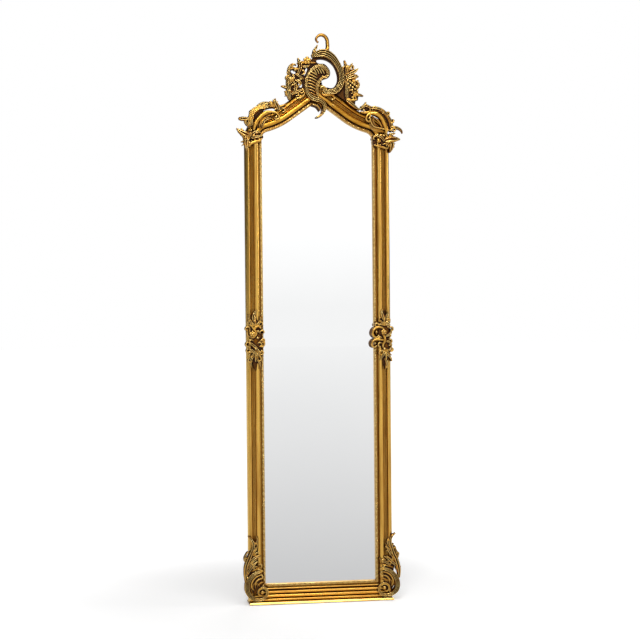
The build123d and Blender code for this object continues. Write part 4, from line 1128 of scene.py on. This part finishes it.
# %% Middle ornaments
left_middle = (-carving_line, middle_level)
right_middle = (carving_line, middle_level)
carving("carved_left_middle", "left_middle_ornament", left_middle, -1, [
    (low_ground, 0.0, 11.0, [
        (3, 95, 5), (9, 68, 24), (2, 42, 34), (4, 14, 40), (2, -14, 38), (5, -50, 28), (4, -93, 5),
    ]),
    (veined_leaf, 3.0, 11.0, [(8, 60, 8), (10, 76, 12), (4, 90, 7), (-2, 98, 3)]),
    (veined_leaf, 3.0, 11.0, [(8, 50, 8), (19, 60, 10), (24, 72, 7), (25, 86, 3)]),
    (veined_leaf, 3.0, 11.0, [(2, 48, 6), (-8, 56, 9), (-12, 66, 7), (-12, 78, 3)]),
    (plain_roll, 4.0, 11.0, [(22, 54, 4), (10, 40, 8), (2, 24, 9), (10, 12, 8), (20, 10, 4)]),
    (plain_roll, 4.0, 11.0, [(-14, 38, 4), (-6, 46, 8), (6, 38, 8), (8, 26, 4)]),
    (plain_roll, 4.0, 11.0, [(-8, -2, 3), (-18, 2, 7), (-24, -8, 7), (-18, -18, 6), (-10, -14, 3)]),
    (veined_leaf, 4.0, 11.0, [(26, -2, 4), (16, -10, 9), (4, -20, 10), (-6, -34, 7), (-12, -48, 3)]),
    (veined_leaf, 4.0, 11.0, [(24, -24, 4), (12, -32, 9), (2, -40, 9), (-4, -54, 3)]),
    (veined_leaf, 3.0, 11.0, [(8, -46, 6), (18, -58, 9), (20, -72, 7), (16, -84, 3)]),
    (veined_leaf, 3.0, 11.0, [(2, -52, 6), (-6, -64, 8), (-10, -76, 6), (-8, -88, 3)]),
    (plain_roll, 3.0, 11.0, [(28, 40, 3), (30, 26, 6), (24, 14, 6), (14, 16, 3)]),
    *leaf_fan(4, 44, 90, 34, 5, 110, 6, lift=5.0),
    *leaf_fan(4, -30, -90, 36, 5, 100, 6, lift=5.0),
    curl(-10, 22, 100, 8, 1), curl(20, 36, 60, 8, -1), curl(-16, 8, 200, 7, 1), curl(22, -4, 0, 8, -1),
    curl(-2, -8, 160, 8, 1), curl(10, 0, 30, 7, -1), curl(-12, -30, 200, 7, 1), curl(20, -34, -20, 7, 1),
    curl(-6, 52, 120, 7, 1), curl(14, 58, 60, 7, -1), curl(0, -58, 220, 7, -1), curl(14, -62, -40, 7, 1),
], rosette(14, 22, 5, 5.6, 4.2, 3.6, 8.0) + [
    (-3, 10, 4.0, 8.0), (4, -24, 3.4, 9.0), (24, -44, 3.2, 4.0), (6, 62, 3.2, 8.0), (-4, 30, 3.6, 8.0),
])
carving("carved_right_middle", "right_middle_ornament", right_middle, 1, [
    (low_ground, 0.0, 11.0, [
        (8, 92, 6), (6, 62, 26), (8, 32, 38), (8, 0, 38), (14, -35, 30), (11, -65, 22), (13, -93, 5),
    ]),
    (veined_leaf, 3.0, 11.0, [(6, 64, 8), (2, 78, 12), (0, 88, 8), (6, 96, 3)]),
    (veined_leaf, 3.0, 11.0, [(10, 60, 6), (17, 74, 9), (20, 84, 7), (16, 92, 3)]),
    (plain_roll, 4.0, 11.0, [
        (8, 34, 6), (-4, 39, 8), (-18, 37, 8), (-28, 26, 8), (-27, 13, 8), (-16, 7, 7), (-8, 14, 3),
    ]),
    (plain_roll, 3.0, 11.0, [(-14, 32, 3), (-19, 24, 5), (-15, 16, 3)]),
    (plain_roll, 4.0, 11.0, [
        (6, -2, 6), (-10, 0, 8), (-26, -3, 8), (-32, -15, 7), (-25, -24, 7), (-15, -20, 3),
    ]),
    (veined_leaf, 4.0, 11.0, [(14, 10, 6), (25, 16, 10), (31, 24, 7), (30, 34, 3)]),
    (veined_leaf, 4.0, 11.0, [(12, 46, 6), (22, 50, 9), (26, 60, 6), (22, 70, 3)]),
    (veined_leaf, 4.0, 11.0, [(16, -4, 5), (26, -10, 9), (31, -20, 6), (26, -32, 3)]),
    (plain_roll, 4.0, 11.0, [(0, 20, 3), (8, 10, 8), (10, -4, 9), (4, -18, 7), (6, -30, 3)]),
    (veined_leaf, 4.0, 11.0, [(20, -34, 4), (10, -42, 9), (2, -52, 9), (-6, -66, 3)]),
    (veined_leaf, 4.0, 11.0, [(6, -40, 4), (18, -48, 10), (28, -58, 7), (33, -70, 3)]),
    (veined_leaf, 3.0, 11.0, [(10, -60, 6), (16, -74, 10), (15, -84, 8), (11, -95, 3)]),
    (plain_roll, 3.0, 11.0, [(-2, 52, 3), (-8, 60, 6), (-4, 70, 5), (2, 68, 3)]),
    *leaf_fan(8, 44, 90, 32, 5, 110, 6, lift=5.0),
    *leaf_fan(12, -30, -85, 36, 5, 100, 6, lift=5.0),
    curl(-8, 44, 120, 7, 1), curl(22, 34, 40, 8, -1), curl(22, 0, 0, 7, -1), curl(2, -12, 170, 8, 1),
    curl(16, -10, 20, 7, -1), curl(0, -36, 200, 7, 1), curl(24, -36, -20, 7, 1), curl(16, 60, 60, 6, -1),
    curl(2, 4, 150, 7, 1), curl(18, 14, 30, 6, -1),
], rosette(6, 24, 5, 5.2, 4.0, 3.4, 8.0) + [
    (-17, 24, 3.6, 5.0), (-22, -12, 3.4, 4.0), (15, -88, 3.6, 4.0), (20, 40, 3.2, 7.0), (8, -30, 3.6, 8.0),
])

# %% [markdown]
# The glass is a true mirror: fully metallic and almost perfectly smooth. It is not quite even,
# because no silvering is, so a very faint cloud moves its tint and its polish by a hair.

# %% Mirror glass
silver_bright = (0.965, 0.97, 0.972)
silver_dull = (0.945, 0.952, 0.955)

silvered, tree, output = new_material("silvered_glass")
place = add(tree, "TexCoord").outputs["Object"]
cloud = add(tree, "TexNoise", Vector=place, Scale=2.2, Detail=3.0).outputs["Fac"]
tint = ramp(tree, cloud, (0.35, silver_dull), (0.65, silver_bright))
polish = ramp(tree, cloud, (0.3, 0.012), (0.7, 0.004))
shader = add(tree, "BsdfPrincipled", Metallic=1.0, Roughness=polish, **{"Base Color": tint})
tree.links.new(shader.outputs[0], output.inputs["Surface"])

# %% [markdown]
# Behind the glass everything is plain joinery: a fibre board, steel plates and clips, brass hangers,
# beech dowels, rubber blocks and felt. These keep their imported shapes, which are already right, and
# get a finish each: brushed metal, pressed fibres, grain or fluff, all from noise at its own scale.

# %% Plain finishes
def plain_finish(name, dark, pale, stretch, scale, roughness, metallic=0.0, bump=0.0004, sheen=0.0):
    """A two-tone finish: noise, stretched along one axis where the material has a grain."""
    material, tree, output = new_material(name)
    place = add(tree, "TexCoord").outputs["Object"]
    stretched = add(tree, "Mapping", Vector=place, Scale=stretch).outputs[0]
    grain = add(tree, "TexNoise", Vector=stretched, Scale=scale, Detail=6.0, Roughness=0.65).outputs["Fac"]
    tone = ramp(tree, grain, (0.32, dark), (0.68, pale))
    rough = ramp(tree, grain, (0.3, roughness + 0.1), (0.7, roughness - 0.05))
    rise = add(tree, "Bump", Strength=0.4, Distance=bump, Height=grain)
    shader = add(
        tree, "BsdfPrincipled", Metallic=metallic, Roughness=rough, Normal=rise.outputs[0],
        **{"Base Color": tone, "Sheen Weight": sheen},
    )
    tree.links.new(shader.outputs[0], output.inputs["Surface"])
    return material


fibre_board = plain_finish("fibre_board", (0.20, 0.115, 0.058), (0.36, 0.235, 0.135), (1, 1, 1), 260, 0.8)
zinc_steel = plain_finish(
    "zinc_steel", (0.42, 0.43, 0.45), (0.66, 0.67, 0.68), (8, 8, 1), 90, 0.38, metallic=1.0, bump=0.0001,
)
old_brass = plain_finish(
    "old_brass", (0.48, 0.30, 0.08), (0.78, 0.57, 0.22), (1, 1, 1), 140, 0.34, metallic=1.0, bump=0.0001,
)
beech = plain_finish("beech", (0.46, 0.29, 0.15), (0.64, 0.44, 0.26), (9, 9, 1), 60, 0.6)
dark_felt = plain_finish(
    "dark_felt", (0.015, 0.011, 0.008), (0.05, 0.038, 0.03), (1, 1, 1), 900, 0.95, sheen=0.3,
)
grey_rubber = plain_finish("grey_rubber", (0.010, 0.010, 0.010), (0.024, 0.024, 0.025), (1, 1, 1), 300, 0.7)

finishes = {
    "mirror_glass": silvered,
    "backing_board": fibre_board,
    "setting_blocks": grey_rubber,
    "felt_pads": dark_felt,
    "crest_dowels": beech,
    "base_plinth": level_gold,
    "crest_board": carved_gold,
}
for node in ("retaining_clips", "clip_screws", "corner_plates", "mending_plates", "plate_screws"):
    finishes[node] = zinc_steel
for node in ("plinth_screws", "strap_screws"):
    finishes[node] = zinc_steel
for side in ("left", "right"):
    finishes[side + "_hanger_strap"] = old_brass
    finishes[side + "_hanger_ring"] = old_brass
for node, material in finishes.items():
    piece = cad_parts[node]
    piece.data.materials.clear()
    piece.data.materials.append(material)
print("finishes", len(finishes))

# %% [markdown]
# Last, the section curves are thrown away, because they are drawing tools and not part of the
# mirror.

# %% Finish
for section in sections:
    bpy.data.objects.remove(section)
